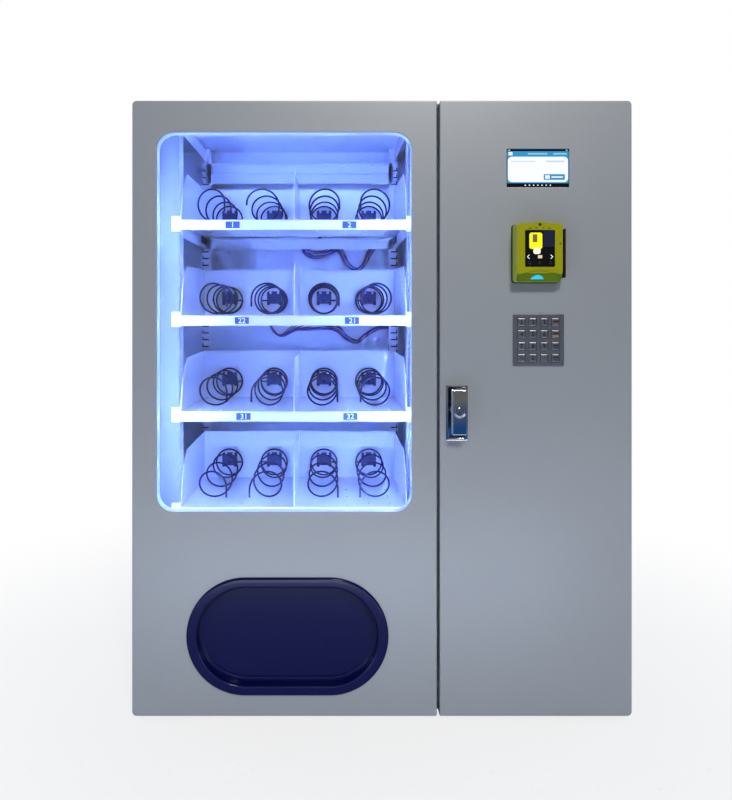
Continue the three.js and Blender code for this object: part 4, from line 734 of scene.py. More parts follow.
class VENDING_OT_port(bpy.types.Operator):
    """Moulds the delivery port's bezel and throat, and its flap"""
    bl_idname = "vending.port"
    bl_label = "Delivery port"

    def execute(self, context):
        s = read("port")
        x, z, depth, lip = s.x, s.z, s.depth, s.lip
        bezel = stadium(x, z, s.bezel_width, s.bezel_height)
        throat = stadium(x, z, s.width, s.height)
        mouth = lambda grown: throat(-grown)
        rim = 4 - s.proud
        bm = bmesh.new()
        loft(bm, levels(bezel, (0, 0), (0, rim),
                        *((4 * (1 - math.cos(a)), rim - 4 * math.sin(a)) for a in quarter(5)[1:]))
             + levels(mouth, *((3 * (1 - math.sin(a)), rim - 1 - 3 * math.cos(a)) for a in quarter(5)),
                      (0, depth - 3), (-0.6, depth - 2.2), (0.6 - lip, depth - 2), (-lip, depth - 1.5),
                      (-lip, depth), (3, depth), (3, 0.0)), caps=False, closed=True)
        half = (s.width - s.height) / 2
        top = z + s.height / 2
        axis = top + 8
        for side in (-1, 1):
            block(bm, x + side * (half + 0.3), x + side * (half + 6.3), 2.3, depth + 8, top + 1.5, axis + 8, 0.6)
        finished("port_frame_moulding", bm, "moulded_abs_navy", "window_door", ["port_frame"], "dark_plastic")

        bm = bmesh.new()
        front = depth + 0.3
        leaf = stadium(x, z, s.width - 2 * lip + 9, s.height - 2 * lip + 9)
        loft(bm, levels(leaf, (0.8, front), (0, front + 0.8), (0, front + 2.2), (0.8, front + 3), (16, front + 3),
                        (17, front + 2.6)))
        for reach, radius, sides in ((half - 0.2, 4, 24), (half + 5, 2.5, 16)):
            tube(bm, [at(x - reach, depth, axis), at(x + reach, depth, axis)], radius, sides)
        block(bm, x - half + 4, x + half - 4, front + 1, front + 2.4, top - 12, axis, 0.2)
        finished("flap_moulding", bm, "moulded_abs_navy", "flap", ["delivery_flap"], "dark_plastic")
        return {"FINISHED"}


class VENDING_OT_rack(bpy.types.Operator):
    """Builds the rack with its rows of holes, and finishes the cabinet's plain nodes"""
    bl_idname = "vending.rack"
    bl_label = "Rack and cabinet"

    def execute(self, context):
        s = read("shelves")
        middle, inner = s.x, s.width / 2 + 2
        low, high = 2.0, TOP - 2
        rows = [low + 30 + 16 * i for i in range(66)]
        rails = [s.top_rail - tray * s.pitch for tray in (0, 3)]
        rear_face = lambda u, v, w: at(u, RACK_REAR + w, v)
        bm = bmesh.new()
        for side in (-1, 1):
            web, out = middle + side * inner, middle + side * (inner + 24)
            # The upright's front face is in the grey of painted shade, against the strips' light beside it
            block(bm, web, out, 115, 117, low, high, 0.4, material=2)
            if side < 0:
                # A wing closes the gap to the cabinet's wall; like the upright's front face, it is in the grey of
                # painted shade
                block(bm, 2.3 - SIDE, out + 2, 115, 117, low + 6, high - 6, 0.4, material=2)
            # Square holes in the upright's inner flange
            grid_plate(bm, [115, 151], [low, high], [(138, 142.5, z, z + 4.5) for z in rows],
                       lambda u, v, w: at(web + side * w, u, v), 2.0)
            # Hooked slots in the rear post, and a dark sheet behind them: painted shade for the inside of its channel
            post, post_out = middle + side * (inner - 13), middle + side * (inner + 11)
            slots = [(*sorted((post + side * start, post + side * 20.5)), z + z0, z + z1)
                     for z in rows for start, z0, z1 in ((5, 0, 3), (18, 3, 9))]
            grid_plate(bm, [post, post_out], [low, high], slots, rear_face, 2.0)
            block(bm, post_out - side * 2, post_out, RACK_REAR, 478, low, high)
            block(bm, post + side * 3, post_out - side * 2.2, 444, 445, low, high, 0.2, material=1)
            # Side runners low down, under the roof, and under the first and last tray
            for z, height in ((low, 30), (high - 30, 30), *((rail - MEMBER_DROP, 25) for rail in rails)):
                block(bm, web, web + side * 2, 150, 440, z, z + height)
        reach = inner - 2
        for rail in rails:
            z = rail - MEMBER_DROP
            holes = [(x - 2.8, x + 2.8, z + 14, z + 19.6)
                     for x in (middle + share * s.width for share in (-0.267, 0.006, 0.273))]
            grid_plate(bm, [middle - reach, middle + reach], [z, z + 25], holes, rear_face, 2.0)
            block(bm, middle - reach, middle + reach, 432, 439, z + 23.4, z + 25)
        # Top member, with a ledge 420 mm wide in three steps
        top = TOP - 79
        block(bm, middle - reach, middle + reach, RACK_REAR, 440, top, top + 43, 0.4)
        for front, z0, z1 in ((433, -6.5, 17.2), (435, 19, 35.2), (436, 37, 42.6)):
            block(bm, middle - 210, middle + 210, front, 438.2, top + z0, top + z1, 0.4)
        # Black nylon stops on the runners' inner faces, at their rear ends
        for rail in rails:
            for side in (-1, 1):
                block(bm, middle + side * (inner - 2.6), middle + side * inner, 372, 436, rail - 21, rail - 5.5, 0.6,
                      1.0, 1)
        finished("rack_frame_welded", bm, ("white_powder_coat", "moulded_nylon", "phosphated_steel"), "cabinet",
                 ["rack_frame"], "inner_paint")

        for node, finish_name in (
            ("cabinet_shell", "powder_coated_shell"), ("bay_partition", "white_powder_coat"),
            ("delivery_bin", "powder_coated_bin"), ("control_box", "galvanised_steel"),
        ):
            give(node, finish_name)
        return {"FINISHED"}


class VENDING_OT_trays(bpy.types.Operator):
    """Folds the four trays with slotted floors, rails, end clips and number plates"""
    bl_idname = "vending.trays"
    bl_label = "Trays"

    # Number plates of each tray: across from its middle, and the figures
    plates = (((-119, "1"), (109, "2")), ((-101, "22"), (114, "21")), ((-98, "31"), (111, "32")),
              ((-97, "41"), (131, "42")))

    def execute(self, context):
        s = read("shelves")
        for level, plates in enumerate(self.plates):
            rail = s.top_rail - level * s.pitch
            self.tray(level + 1, rail, s)
            for across, text in plates:
                x = s.x + across
                bm = bmesh.new()
                block(bm, x - 13.8, x + 13.8, 105.2, 106.1, rail - 16.4, rail - 3.2, 0.2, 0.5)
                finished(f"number_plate_{text}", bm, "printed_vinyl", "cabinet")
                figure(f"number_{text}", text, 10.4, x, 105.15, rail - 9.8, "white_ink", "cabinet", 0.05, wide=1.05)
        return {"FINISHED"}

    def tray(self, number, rail, s):
        middle, half, rear, front = s.x, s.width / 2, s.rear, s.rail_front + 3.5
        sheet = 1.5
        # Slots 3.2 by 15 mm in the floor, where dividers can be set
        bm = bmesh.new()
        holes = [(x - 1.6, x + 1.6, d - 7.5, min(d + 7.5, 404))
                 for place in (43, 106, 149, 191) for x in (-place, place) for d in range(152, 401, 62)]
        grid_plate(bm, [sheet - half, half - sheet], [front - sheet, rear - sheet], holes,
                   lambda u, v, w: at(middle + u, v, rail - 3 - w), sheet)
        finished(f"tray_floor_{number}", bm, "white_powder_coat", "cabinet", [f"tray_{number}"], "tray_steel",
                 smooth=20)

        # Side walls and the divider, then the rear wall with openings for the shafts and the motors' tabs
        bm = bmesh.new()
        side = [(front, -4.5), (rear, -4.5), (rear, -3), (438, -3), (438, 37), (rear, 37), (rear, 104),
                (front + 67, 101), (front + 20, 62), (front, 0)]
        divider = [(front + 12, -4), (rear, -4), (rear, 104), (front + 35, 104), (front + 12, -2)]
        for profile, x0, x1 in ((side, -half, sheet - half), (side, half - sheet, half), (divider, -0.75, 0.75)):
            side_plate(bm, [(d, rail + z) for d, z in profile], middle + x0, middle + x1)
        holes = [(share * s.width - reach, share * s.width + reach, z0, z1)
                 for share in SHARES for reach, z0, z1 in ((7, 27, 41), (16.8, 60, 68.6))]
        grid_plate(bm, [sheet - half, half - sheet], [-4.5, 104], holes,
                   lambda u, v, w: at(middle + u, rear - sheet + w, rail + v), sheet)
        finished(f"tray_walls_{number}", bm, "white_powder_coat", "cabinet", slot="tray_steel", smooth=20)

        # Ticket rail with its end clips
        bm = bmesh.new()
        height = s.rail_height
        lip = [(0, 0), (-3.1, 0), (-3.5, -0.4), (-3.5, -1.8), (-2, -2.4), (-2, 1.6 - height), (-3.5, 2.2 - height),
               (-3.5, 0.4 - height), (-3.1, -height), (-1.5, -height), (-1.5, -4.5), (0, -4.5)]
        side_plate(bm, [(front + d, rail + z) for d, z in lip], middle - half, middle + half)
        for edge in (-1, 1):
            near, far = middle + edge * (half - sheet), middle + edge * (half + 17)
            block(bm, near, far, 106, 109, rail - 22, rail + 7, 0.6, 3.0)
            for z in (rail - 22, rail + 4.5):
                block(bm, near, far, 108.5, 115, z, z + 2.5, 0.4)
        finished(f"tray_rail_{number}", bm, "extruded_pvc_white", "cabinet", slot="tray_steel", smooth=30)


class VENDING_OT_spirals(bpy.types.Operator):
    """Winds the sixteen spirals with their tails and hubs, and finishes the motors"""
    bl_idname = "vending.spirals"
    bl_label = "Spirals"

    # How far each spiral's front end leans across the machine, tray by tray
    leans = ((-4.5, -4.5, 2, 0), (0, 4.5, 1, 4), (0, 4.5, -2, 0), (-1, 1, -1, -1))
    # A tail's tip stays this near the axis, clear of the tray's floor as the spiral turns
    tail_reach = 34.8

    def execute(self, context):
        s, t = read("spirals"), read("shelves")
        for level in range(4):
            for column, share in enumerate(SHARES):
                x = t.x + share * t.width
                z = t.top_rail - level * t.pitch + AXIS_RISE
                name = f"spiral_{level + 1}_{column + 1}"
                bm = bmesh.new()
                tube(bm, self.line(s, x, z, (1, -1)[column % 2], self.leans[level][column]), s.wire)
                self.hub(bm, x, z)
                finished(f"wire_{name}", bm, ("plated_spring_steel", "moulded_nylon_worn", "moulded_nylon"),
                         f"{name}_body", [name], "wire")
            give(f"motor_bank_{level + 1}", "moulded_nylon_cases")
        return {"FINISHED"}

    def line(self, s, x, z, hand, lean):
        """The wire's middle line, from its tail in front to the hub. hand is 1 or -1, the way it is wound."""
        tail = min(s.tail, math.sqrt(self.tail_reach ** 2 - (s.radius + max(hand * lean, 0)) ** 2))
        points = [at(x + hand * s.radius, s.front - 0.5, z - tail), at(x + hand * s.radius, s.front, z - tail / 2)]
        steps = 32
        run = s.back - s.closing - s.front
        for step in range((s.turns + 1) * steps + 1):
            turns = step / steps
            angle = 2 * math.pi * turns
            depth = s.front + run * min(turns / s.turns, 1) + s.closing * max(turns - s.turns, 0)
            points.append(at(x + hand * s.radius * math.cos(angle), depth, z + s.radius * math.sin(angle)))
        points += [at(x + hand * reach, s.back, z - 0.4) for reach in (s.radius - 4, 8)]
        for spot in points:
            spot.x += lean * MM * (s.back - (spot.y - FRONT_Y) / MM) / (s.back - s.front)
        return points

    def hub(self, bm, x, z):
        """A notched block 34 mm wide with a boss, two feet and a shaft."""
        profile = [(-17, -9), (-15, -11), (-11, -11), (-11, -8), (11, -8), (11, -11), (15, -11), (17, -9), (17, 18),
                   (15, 21), (11.5, 21), (11.5, 15), (6, 15), (6, 21), (-6, 21), (-6, 15), (-11.5, 15), (-11.5, 21),
                   (-15, 21), (-17, 18)]
        loft(bm, [([(x + px * (1 - inset / 17), z + 7 + (pz - 7) * (1 - inset / 14)) for px, pz in profile], depth)
                  for inset, depth in ((0.5, 395.2), (0, 395.7), (0, 404.2))], 1)
        for width, front, back, edge, steps, material, corner_steps in (
            (11, 392.8, 395.4, 0.6, 2, 1, 5), (4.6, 392.0, 393.0, 0.3, 1, 0, 4), (10, 404, 426, 0.4, 1, 1, 5),
        ):
            slab(bm, around(x, z, width, width, width / 2, corner_steps), front, back, edge, steps, material)
        for side in (-1, 1):
            block(bm, x + side * 13.5 - 3, x + side * 13.5 + 3, 393.2, 395.4, z - 11, z - 4, 0.5, material=2)


class VENDING_OT_wiring(bpy.types.Operator):
    """Lays the loom's wires behind the trays"""
    bl_idname = "vending.wiring"
    bl_label = "Wiring"

    # Points of each branch: across the machine, and up from the tray's rail. It ends under one of the motors
    routes = (
        ((56, -20), (30, -14), (5, -30), (-10, -62), (-29, -79), (-52, -64),
         (-74, -31), (-105, -41), (-137, -44), (-155, -30), (-130, -12)),
        ((56, -30), (21, -31), (-11, -50), (-29, -64), (-55, -53), (-78, -33),
         (-120, -28), (-173, -32), (-212, -49), (-234, -32), (-234, -12)),
        ((56, -44), (20, -48), (-40, -56), (-90, -52), (-126, -34), (-120, -12)),
        ((56, -40), (20, -46), (-40, -52), (-90, -50), (-126, -34), (-120, -12)),
    )
    motors = (2, 1, 2, 2)
    lead = ((LOOM_X, LOOM_DEPTH, 600), (72, 460, 600), (100, 458, 600), (180, 445, 585), (236, 436, 552),
            (240, 433, 522), (240, 433, 510.3))
    strands = 9

    def execute(self, context):
        t = read("shelves")
        rails = [t.top_rail - level * t.pitch for level in range(4)]
        lines = [[at(LOOM_X, LOOM_DEPTH, z) for z in (rails[0], rails[3], rails[0] - 3.5 * t.pitch)]]
        for rail, route, motor in zip(rails, self.routes, self.motors):
            x = t.x + SHARES[motor] * t.width
            lines.append([*(at(px, LOOM_DEPTH, rail + pz) for px, pz in route),
                          *(at(x, 439, rail + 21.7 - drop) for drop in (12, 0))])
        lines.append([at(*spot) for spot in self.lead])
        bm = bmesh.new()
        for number, points in enumerate(lines):
            self.bundle(bm, spline(points, 10), number)
        for rail in rails:
            block(bm, LOOM_X - 7, LOOM_X + 7, 457.4, 478, rail - 15, rail - 5, 1.0, material=5)
        finished("loom_wires", bm, (*(f"pvc_insulation_{name}" for name in WIRES), "glass_cloth_tape"), "cabinet",
                 ["wiring_loom"], "loom_sleeve")
        return {"FINISHED"}

    def bundle(self, bm, path, number):
        """Wires that wander round the bundle's middle line, and fan out between its ties."""
        last = len(path) - 1
        for strand in range(self.strands):
            drawn = []
            run = 0.0
            for i, spot in enumerate(path):
                before = path[max(i - 1, 0)]
                along = (path[min(i + 1, last)] - before).normalized()
                first = (along.orthogonal() if abs(along.y) > 0.9 else along.cross(Vector((0, 1, 0)))).normalized()
                second = along.cross(first)
                run += (spot - before).length
                angle = 2 * math.pi * strand / self.strands + run / 0.06 + 0.8 * math.sin(run * 60 + strand + number)
                fan = max(math.sin(math.pi * i / last), 0) ** 0.5
                reach = (2.4 + 0.5 * math.sin(run * 35 + 2 * strand)) * MM
                spread = (strand - 4) * (1.5 + 0.9 * math.sin(run * 28 + number)) * fan * MM
                drawn.append(spot + first * (math.cos(angle) * reach + spread) + second * math.sin(angle) * reach)
            tube(bm, drawn, 1.15, 6, strand % len(WIRES))


def screen_layers(prefix, rows, x, z, front, step, back, slot):
    """Flat lit shapes on a screen, each level a step in front of the one under it."""
    for name, lit, x0, x1, z0, z1, radius, level in rows:
        bm = bmesh.new()
        slab(bm, between(x + x0, x + x1, z + z0, z + z1, radius, 4), front - step * level, back, 0.01, 1)
        finished(f"{prefix}_{name}", bm, f"screen_{lit}", "control_door", slot=slot)


class VENDING_OT_display(bpy.types.Operator):
    """Makes the display with its plain screen layout"""
    bl_idname = "vending.display"
    bl_label = "Display"

    # Name, colour, left, right, bottom and top from the display's upper left corner, corner radius, level
    rows = (
        ("header", "blue", 0.6, 112.4, -62.0, -3.8, 0.5, 1),
        ("panel", "white", 1.8, 111.2, -60.0, -13.8, 7.0, 2),
        ("button", "button", 67.0, 105.5, -56.0, -45.5, 1.6, 3),
        ("home_tile", "pale", 2.8, 10.2, -11.4, -5.2, 0.8, 2),
        ("header_bar", "soft", 38.0, 74.0, -9.8, -7.0, 1.2, 2),
        ("header_mark", "soft", 84.0, 109.0, -9.8, -7.0, 1.2, 2),
        ("panel_line", "faint", 7.0, 52.0, -23.2, -21.4, 0.8, 3),
        ("panel_mark", "faint", 71.0, 105.0, -23.8, -20.8, 0.8, 3),
        ("button_tile", "pale", 69.5, 78.0, -54.2, -47.3, 1.0, 4),
        ("button_bar", "pale", 81.0, 102.0, -52.2, -49.4, 1.0, 4),
        ("status_left", "pale", 1.8, 6.0, -2.4, -1.2, 0.4, 1),
        ("status_right", "pale", 107.0, 110.6, -2.4, -1.2, 0.4, 1),
    )

    def execute(self, context):
        s = read("controls")
        left, top = s.display_x - 56.5, s.display_z + 34.5
        give("display_module", "cover_glass_black")
        screen_layers("screen", self.rows, left, top, 0.48, 0.05, 0.5, "display")
        bm = bmesh.new()
        for i in range(7):
            slab(bm, around(left + 33.5 + 7.6 * i, top - 65.6, 2.6, 2.2, 1.0, 3), 0.42, 0.5, 0.01, 1)
        finished("screen_dots", bm, "screen_pale", "control_door", slot="display")
        return {"FINISHED"}


class VENDING_OT_terminal(bpy.types.Operator):
    """Moulds the card terminal with its screen, lens, chin light and swipe rail"""
    bl_idname = "vending.terminal"
    bl_label = "Card terminal"

    # As the display's rows, but from the screen's middle
    rows = (
        ("night", "navy", 6, 25.5, 3, 32, 0.3, 1), ("tile", "yellow", -19, 4, -1, 28, 4.0, 2),
        ("glow", "cream", -12, 1, -10, 1, 4.0, 3), ("tile_mark", "ochre", -13, -5, 11, 25, 1.0, 3),
        ("key_middle", "beige", -3.8, 3.8, -17.5, -12.0, 0.8, 1),
    )
    # The case's face lies back from the CAD's by as much as the lip and the arrows stand proud of it
    front = -38.4

    def execute(self, context):
        s = read("controls")
        x, z = s.terminal_x, s.terminal_z
        left, right, low, high = x - 40.5, x + 40.5, z - 51, z + 52.6
        front = self.front
        part = lambda name, bm, looks, slot="terminal_green", **kept: finished(
            f"terminal_{name}", bm, looks, "control_door", slot=slot, **kept)

        # Body: the front outline with the lens bump, cut by the chin and brow planes
        outline = between(left, right, low, high, 5)(0)
        outline[7:7] = arc(x, high - 20.8, 24, 60, 120, 12)
        bm = bmesh.new()
        loft(bm, [(outline, front), (outline, -2)])
        for spot, normal in ((at(x, front, low + 15), (0, -15, -14)), (at(x, front, high + 2.6), (0, -3, 5))):
            cut = bmesh.ops.bisect_plane(bm, geom=bm.verts[:] + bm.edges[:] + bm.faces[:], plane_co=spot,
                                         plane_no=Vector(normal).normalized(), clear_outer=True)
            rim = [g for g in cut["geom_cut"] if isinstance(g, bmesh.types.BMEdge)]
            bmesh.ops.contextual_create(bm, geom=rim)
        bmesh.ops.recalc_face_normals(bm, faces=bm.faces)
        # Side faces take the paler painted light, the chin's face the darker painted shade
        for face in bm.faces:
            face.material_index = 1 if face.normal.y > -0.3 else 2 if face.normal.z < -0.3 else 0
        part("body", bm, ("moulded_abs_lime", "moulded_abs_lime_edge", "moulded_abs_lime_chin"),
             nodes=["terminal_housing"], bevel=1.6)

        # Base gasket against the door, swipe rail of two cheeks with the card slot between, and lens bezel
        bm = bmesh.new()
        slab(bm, between(left - 1.8, right + 1.8, low - 1.8, high + 1.2, 6), -2.2, 0)
        for a, b, top in ((right - 1, right + 3.2, 41), (right + 4.8, right + 8, 44)):
            slab(bm, between(a, b, z - top, z + top, 1.5, 3), -30, 0, 0.8, 3)
        block(bm, right, right + 7, -12, 0, z - 44, z + 44, 0.4, 1.0)
        slab(bm, around(x, high - 2.6, 5.6, 5.6, 2.8), front - 0.4, front + 2, 0.3)
        part("rail", bm, "moulded_polycarbonate")

        # Screen: cover glass in a recess, with a plain lit layout
        sz = z + 7.7
        bm = bmesh.new()
        slab(bm, around(x, sz, 53, 65.5, 2.2), front - 0.35, front + 2, 0.25)
        part("glass", bm, "cover_glass_black", "black_glass", nodes=["terminal_screen"])
        screen_layers("terminal", self.rows, x, sz, front - 0.35, 0.04, front - 0.2, "black_glass")
        bm = bmesh.new()
        for side in (-1, 1):
            for dz in (-3.4, 3.4):
                tube(bm, [at(x + side * 22.5, front - 0.4, sz - 14.8), at(x + side * 19, front - 0.4, sz - 14.8 + dz)],
                     0.75, 6)
        part("arrows", bm, "screen_pale", "black_glass")
        bm = bmesh.new()
        for px in (-19, 0, 19):
            curl = arc(0, 0, 1, 0, 300, 10)
            tube(bm, [at(x + px + 2.4 * c, front - 0.36, sz - 25.5 + 2.0 * s) for c, s in curl], 0.35, 5)
        part("marks", bm, "screen_grey", "black_glass")

        # Four lamp windows over the screen and one beside it, unlit
        bm = bmesh.new()
        for px, pz, width, height in ((-17.5, 43.5, 5, 1.8), (-6.5, 44, 4.4, 1.8), (5.5, 44, 4.4, 1.8),
                                      (16.5, 43.5, 5, 1.8), (36, 16, 2.6, 3.6)):
            block(bm, x + px - width / 2, x + px + width / 2, front - 0.15, front + 0.5,
                  z + pz - height / 2, z + pz + height / 2, 0.1)
        part("lamp_windows", bm, "smoked_acrylic")

        # Arched lip under the screen, and the reader's light in the chin
        bm = bmesh.new()
        tube(bm, [at(x - 38 + 76 * k / 24, front - 0.2, low + 13.5 + 6.5 * math.sin(math.pi * k / 24))
                  for k in range(25)], 1.4)
        part("lip", bm, "moulded_abs_lime")
        bm = bmesh.new()
        fan = [(-12, 0.0), (-9, 3.6), (-5, 6.2), (0, 7.4), (5, 6.2), (9, 3.6), (12, 0.0)]
        rings = [[bm.verts.new(at(x + px - 3, front + 14 * (10.5 - pz) / 15 - out, low + 4.5 + pz)) for px, pz in fan]
                 for out in (0.6, 0.1)]
        join_rings(bm, *rings)
        for ring in rings:
            bm.faces.new(ring)
        part("reader_light", bm, "light_cyan", "display")
        return {"FINISHED"}


class VENDING_OT_keypad(bpy.types.Operator):
    """Makes the metal keypad with its sixteen keys and figures"""
    bl_idname = "vending.keypad"
    bl_label = "Keypad"

    # The keys row by row. A name of more than one letter is the enamel of a key with bars
    keys = ("1", "2", "3", "red", "4", "5", "6", "amber", "7", "8", "9", "blue", "*", "0", ".", "green")

    def execute(self, context):
        s = read("controls")
        x, z = s.keypad_x, s.keypad_z
        spots = [(x + (c - 1.5) * 20.6, z + (1.5 - r) * 21.8) for r in range(4) for c in range(4)]
        pockets = [around(px, pz, 14.6, 15.6, 0.6, 3) for px, pz in spots]
        plate = around(x, z, 93, 95, 2)
        back = around(x, z, 86, 88, 0.5, 3)(0)
        bm = bmesh.new()
        loft(bm, levels(plate, (1.4, -2), (0.8, -2), (0.2, -1.8), (0, -1.2), (0, 0)), caps=False)
        sheet_between(bm, plate(1.4), [pocket(-0.6) for pocket in pockets], -2)
        sheet_between(bm, plate(0), [back], 0)
        loft(bm, [(back, 0), (back, 14)], caps=False)
        bm.faces.new(place_ring(bm, back, 14))
        for pocket in pockets:
            loft(bm, levels(pocket, (-0.6, -2), (-0.3, -2), (0, -1.7), (0, 6)), caps=False)
            bm.faces.new(place_ring(bm, pocket(0), 6))
        finished("keypad_faceplate", bm, "brushed_stainless_steel", "control_door", ["keypad_plate"], "brushed_steel")

        for number, ((px, pz), text) in enumerate(zip(spots, self.keys), 1):
            body = f"key_{number}_body"
            bm = bmesh.new()
            key = lambda i: around(px, pz, 14 - 2 * i, 15 - 2 * i, 1.2 - i / 2, 3)(0)
            loft(bm, levels(key, (2.2, -3.5), (1.9, -3.46), (0.5, -2.95), (0.1, -2.6), (0, -2.2), (0, 4.5)))
            finished(f"key_cap_{number}", bm, "brushed_stainless_steel", body, [f"key_{number}"], "brushed_steel")
            if len(text) == 1:
                figure(f"key_figure_{number}", text, 1.8 if text == "." else 7.6, px, -3.52, pz, "enamel_black", body,
                       0.42, 0.08)
            else:
                bm = bmesh.new()
                for material, z0, z1 in ((0, -0.6, 2.6), (1, -4.4, -2.2)):
                    block(bm, px - 5, px + 5, -3.56, -3.48, pz + z0, pz + z1, 0.02, material=material)
                finished(f"key_mark_{number}", bm, ("enamel_black", f"enamel_{text}"), body)
        return {"FINISHED"}


class VENDING_OT_lock(bpy.types.Operator):
    """Makes the lock's dish, T-handle, spindle and key cylinder"""
    bl_idname = "vending.lock"
    bl_label = "Lock"

    def execute(self, context):
        s = read("controls")
        x, z = s.lock_x, s.lock_z
        plate = around(x, z - 4.5, 40, 101, 2.5)
        well = around(x, z - 4.5, 30, 91, 2.5)
        bore = circle(x, z, 10.3, 24)
        bm = bmesh.new()
        loft(bm, levels(plate, (0, 0), (0, -2.4), (0.5, -3.6), (1.8, -4))
             + levels(well, (-1.2, -4), (-0.3, -3.6), (0, -2.8), (0, 13), (1, 14)), caps=False)
        for outer, hole, depth in ((well(1), bore, 14), (well(-2), bore, 16), (plate(0), well(-2), 0)):
            sheet_between(bm, outer, [hole], depth)
        loft(bm, [(bore, 14), (bore, 16)], caps=False)
        loft(bm, [(well(-2), 16), (well(-2), 0)], caps=False)
        finished("lock_dish_pressing", bm, "chrome_plated_zinc", "control_door", ["lock_dish"], "brushed_steel")

        # Grip with its shaft and the collar round the cylinder. Only its left side takes the pale blue of a painted
        # reflection
        bm = bmesh.new()
        slab(bm, around(x, z, 26, 81, 2.2), -34, -18, 1.8, 4)
        slab(bm, around(x, z, 12, 12, 6, 8), -18.5, 46, 0.5)
        collar, inner = (circle(x, z, 10.4 * share, 30) for share in (1, 0.86))
        loft(bm, [(collar, -33.9), (collar, -34.6), (inner, -34.9), (inner, -33.9)], caps=False, closed=True)
        bmesh.ops.recalc_face_normals(bm, faces=bm.faces)
        # Faces that look left get the painted reflection
        for face in bm.faces:
            face.material_index = int(face.normal.x < -0.6 and face.calc_center_median().y < FRONT_Y)
        finished("handle_casting", bm, ("chrome_plated_zinc", "tumbled_zinc"), "lock_handle_body", ["lock_handle"],
                 "chrome")

        bm = bmesh.new()
        loft(bm, [(circle(x, z, radius, 24), depth) for radius, depth in (
            (8.4, -24), (8.4, -34.6), (7.6, -35), (5.0, -35), (4.6, -34.2))])
        block(bm, x - 0.7, x + 0.7, -34.35, -34.1, z - 3.6, z + 3.6, 0.02, material=1)
        finished("key_cylinder_turned", bm, ("chrome_plated_zinc", "moulded_polycarbonate"), "key_cylinder_body",
                 ["key_cylinder"], "chrome")
        give("lock_spindle", "zinc_plated_steel")
        return {"FINISHED"}


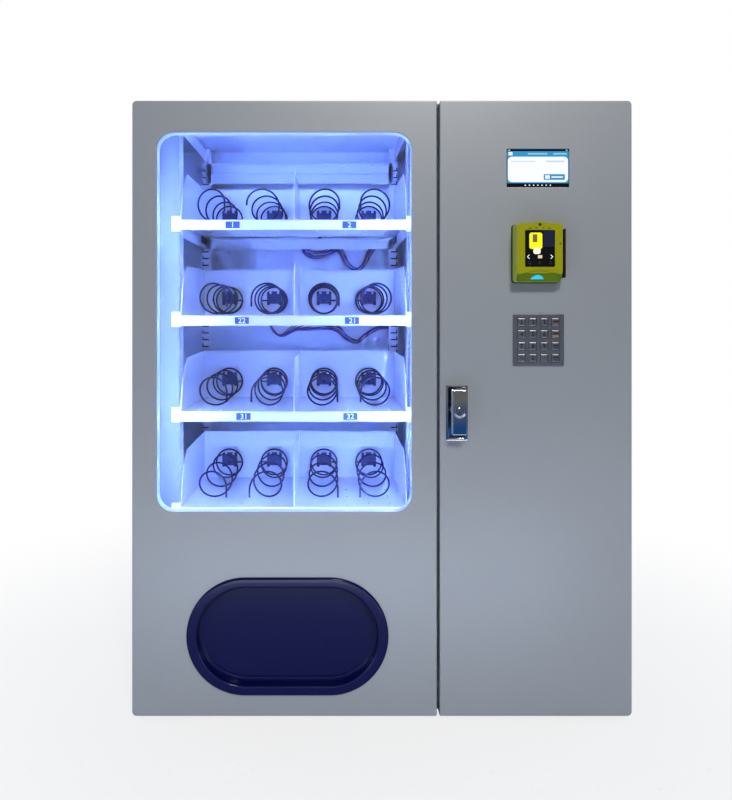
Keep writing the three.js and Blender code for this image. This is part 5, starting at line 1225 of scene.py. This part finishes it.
class VENDING_OT_stage(bpy.types.Operator):
    """Sets the floor, the lights, the world and the camera"""
    bl_idname = "vending.stage"
    bl_label = "Stage"

    # Name, place, target, size in metres, watts and tint
    lamps = (
        ("key_light", (600, -3500, 3450), (60, 0, 450), (0.65, 0.65), 143.0, (1.0, 0.93, 0.8)),
        ("fill_light", (-2000, -1900, 700), (0, 0, 500), (1.6, 1.6), 6.0, (0.8, 0.89, 1.0)),
        ("low_left_light", (-1050, -1150, 40), (-150, 0, 40), (0.4, 0.4), 1.5, (0.78, 0.86, 1.0)),
        ("low_right_light", (800, -1150, 40), (200, 0, 40), (0.4, 0.4), 1.0, (0.78, 0.86, 1.0)),
        ("floor_light", (-60, -800, 25), (-60, 0, 60), (1.2, 0.04), 2.4, (0.8, 0.88, 1.0)),
        # These stand behind the doors' plane, for views of the sides and the back
        ("left_light", (-2600, 900, 1500), (-455, 0, 560), (1.6, 1.6), 32.0, (0.95, 0.97, 1.0)),
        ("right_light", (2600, 900, 1500), (455, 0, 560), (1.6, 1.6), 32.0, (0.95, 0.97, 1.0)),
        ("back_light", (0, 3100, 1600), (0, 240, 560), (1.6, 1.6), 40.0, (0.95, 0.97, 1.0)),
    )
    # The world's colours by height, from straight light 12 degrees below the horizon to 12 above
    sky = (
        (0.150, (0.03, 0.31, 1.0, 1)), (0.70, (0.36, 0.41, 0.50, 1)), (0.168, (0.3, 0.45, 0.74, 1)),
        (0.208, (0.3, 0.45, 0.74, 1)), (0.226, (0.8, 0.75, 0.62, 1)), (0.29, (0.6, 0.57, 0.5, 1)),
        (0.36, (0.2, 0.22, 0.26, 1)),
    )

    def execute(self, context):
        s = read("stage")
        scene = context.scene
        scene.view_settings.view_transform = "Standard"
        # The shelves' light is all seen through the pane, where the usual limit on bounced light would cut most of it
        scene.cycles.sample_clamp_indirect = 0.0
        self.floor()
        scene.world = self.world()
        for name, place, target, size, power, tint in self.lamps:
            lamp = bpy.data.lights.new(name, "AREA")
            lamp.shape = "RECTANGLE"
            lamp.size, lamp.size_y = size
            lamp.energy = power
            lamp.color = tint
            holder = add_object(name, lamp)
            holder.location = at(*place)
            holder.rotation_euler = (at(*target) - holder.location).to_track_quat("-Z", "Y").to_euler()
        lens = bpy.data.cameras.new("camera")
        lens.lens = s.lens
        lens.sensor_width = 36.0
        lens.shift_x = 0.0463
        lens.shift_y = -0.110
        lens.clip_end = 50.0
        scene.camera = add_object("camera", lens)
        scene.camera.location = at(s.camera_x, -s.camera_distance, s.camera_z)
        scene.camera.rotation_euler = (math.radians(90), 0, 0)
        return {"FINISHED"}

    def floor(self):
        # Matt studio floor: white to the camera, with the object's soft shadow kept
        material = bpy.data.materials.new("studio_floor")
        material.use_nodes = True
        tree = material.node_tree
        tree.nodes.clear()
        place = add_node(tree, "ShaderNodeTexCoord").outputs["Object"]
        reach = add_node(tree, "ShaderNodeVectorMath", {0: place}, operation="LENGTH").outputs["Value"]
        fade = add_node(tree, "ShaderNodeMapRange", {
            "Value": reach, "From Min": 0.45, "From Max": 1.5, "To Min": 0.78, "To Max": 1.0},
            interpolation_type="SMOOTHSTEP").outputs[0]
        matt = add_node(tree, "ShaderNodeBsdfDiffuse", {"Color": (0.52, 0.55, 0.62, 1)})
        white = add_node(tree, "ShaderNodeEmission", {"Color": (1, 1, 1, 1), "Strength": 1.0})
        self.output(tree, "Material", calc(tree, "MULTIPLY", seen_straight(tree), fade), matt, white)
        bm = bmesh.new()
        bmesh.ops.create_grid(bm, x_segments=1, y_segments=1, size=3.0)
        mesh = bpy.data.meshes.new("studio_floor")
        bm.to_mesh(mesh)
        bm.free()
        mesh.materials.append(material)
        floor = add_object("studio_floor", mesh)
        floor.location.z = -0.0005

    def world(self):
        world = bpy.data.worlds.new("studio")
        world.use_nodes = True
        tree = world.node_tree
        tree.nodes.clear()
        # A pale room above the floor, darker and bluer below its edge
        way = add_node(tree, "ShaderNodeTexCoord").outputs["Generated"]
        height = add_node(tree, "ShaderNodeSeparateXYZ", {0: way}).outputs[2]
        ramp = add_node(tree, "ShaderNodeValToRGB", {0: add_node(tree, "ShaderNodeMapRange", {
            "Value": height, "From Min": -0.2, "From Max": 0.2}).outputs[0]})
        stops = ramp.color_ramp.elements
        for stop, (position, shade) in zip(stops, self.sky):
            stop.position, stop.color = position, shade
        for position, shade in self.sky[2:]:
            stops.new(position).color = shade
        soft = add_node(tree, "ShaderNodeBackground", {"Color": ramp.outputs[0], "Strength": 0.32})
        white = add_node(tree, "ShaderNodeBackground", {"Color": (1, 1, 1, 1), "Strength": 1.0})
        self.output(tree, "World", seen_straight(tree), soft, white)
        return world

    def output(self, tree, kind, share, *shaders):
        mixed = add_node(tree, "ShaderNodeMixShader",
                         {0: share, 1: shaders[0].outputs[0], 2: shaders[1].outputs[0]}).outputs[0]
        add_node(tree, f"ShaderNodeOutput{kind}", {"Surface": mixed})


OPERATORS = (
    VENDING_OT_doors, VENDING_OT_window, VENDING_OT_port, VENDING_OT_rack, VENDING_OT_trays, VENDING_OT_spirals,
    VENDING_OT_wiring, VENDING_OT_display, VENDING_OT_terminal, VENDING_OT_keypad, VENDING_OT_lock, VENDING_OT_stage,
)


class VENDING_PT_panel(bpy.types.Panel):
    """Lists the pieces of the vending machine"""
    bl_idname = "VENDING_PT_panel"
    bl_label = "Snack Vending Machine"
    bl_space_type = "VIEW_3D"
    bl_region_type = "UI"
    bl_category = "Vending"

    def draw(self, context):
        for operator in OPERATORS:
            self.layout.operator(operator.bl_idname)
        for name, group in GROUPS.items():
            box = self.layout.box()
            for key in group.__annotations__:
                box.prop(getattr(context.scene, name), key)


def register():
    for group in GROUPS.values():
        bpy.utils.register_class(group)
    for name, group in GROUPS.items():
        setattr(bpy.types.Scene, name, PointerProperty(type=group))
    for cls in (*OPERATORS, VENDING_PT_panel):
        bpy.utils.register_class(cls)


def unregister():
    for cls in reversed((*OPERATORS, VENDING_PT_panel)):
        bpy.utils.unregister_class(cls)
    for name, group in reversed(GROUPS.items()):
        delattr(bpy.types.Scene, name)
        bpy.utils.unregister_class(group)


def main():
    register()
    for operator in OPERATORS:
        group, name = operator.bl_idname.split(".")
        getattr(getattr(bpy.ops, group), name)()
    bpy.context.view_layer.update()


if __name__ == "__main__":
    main()
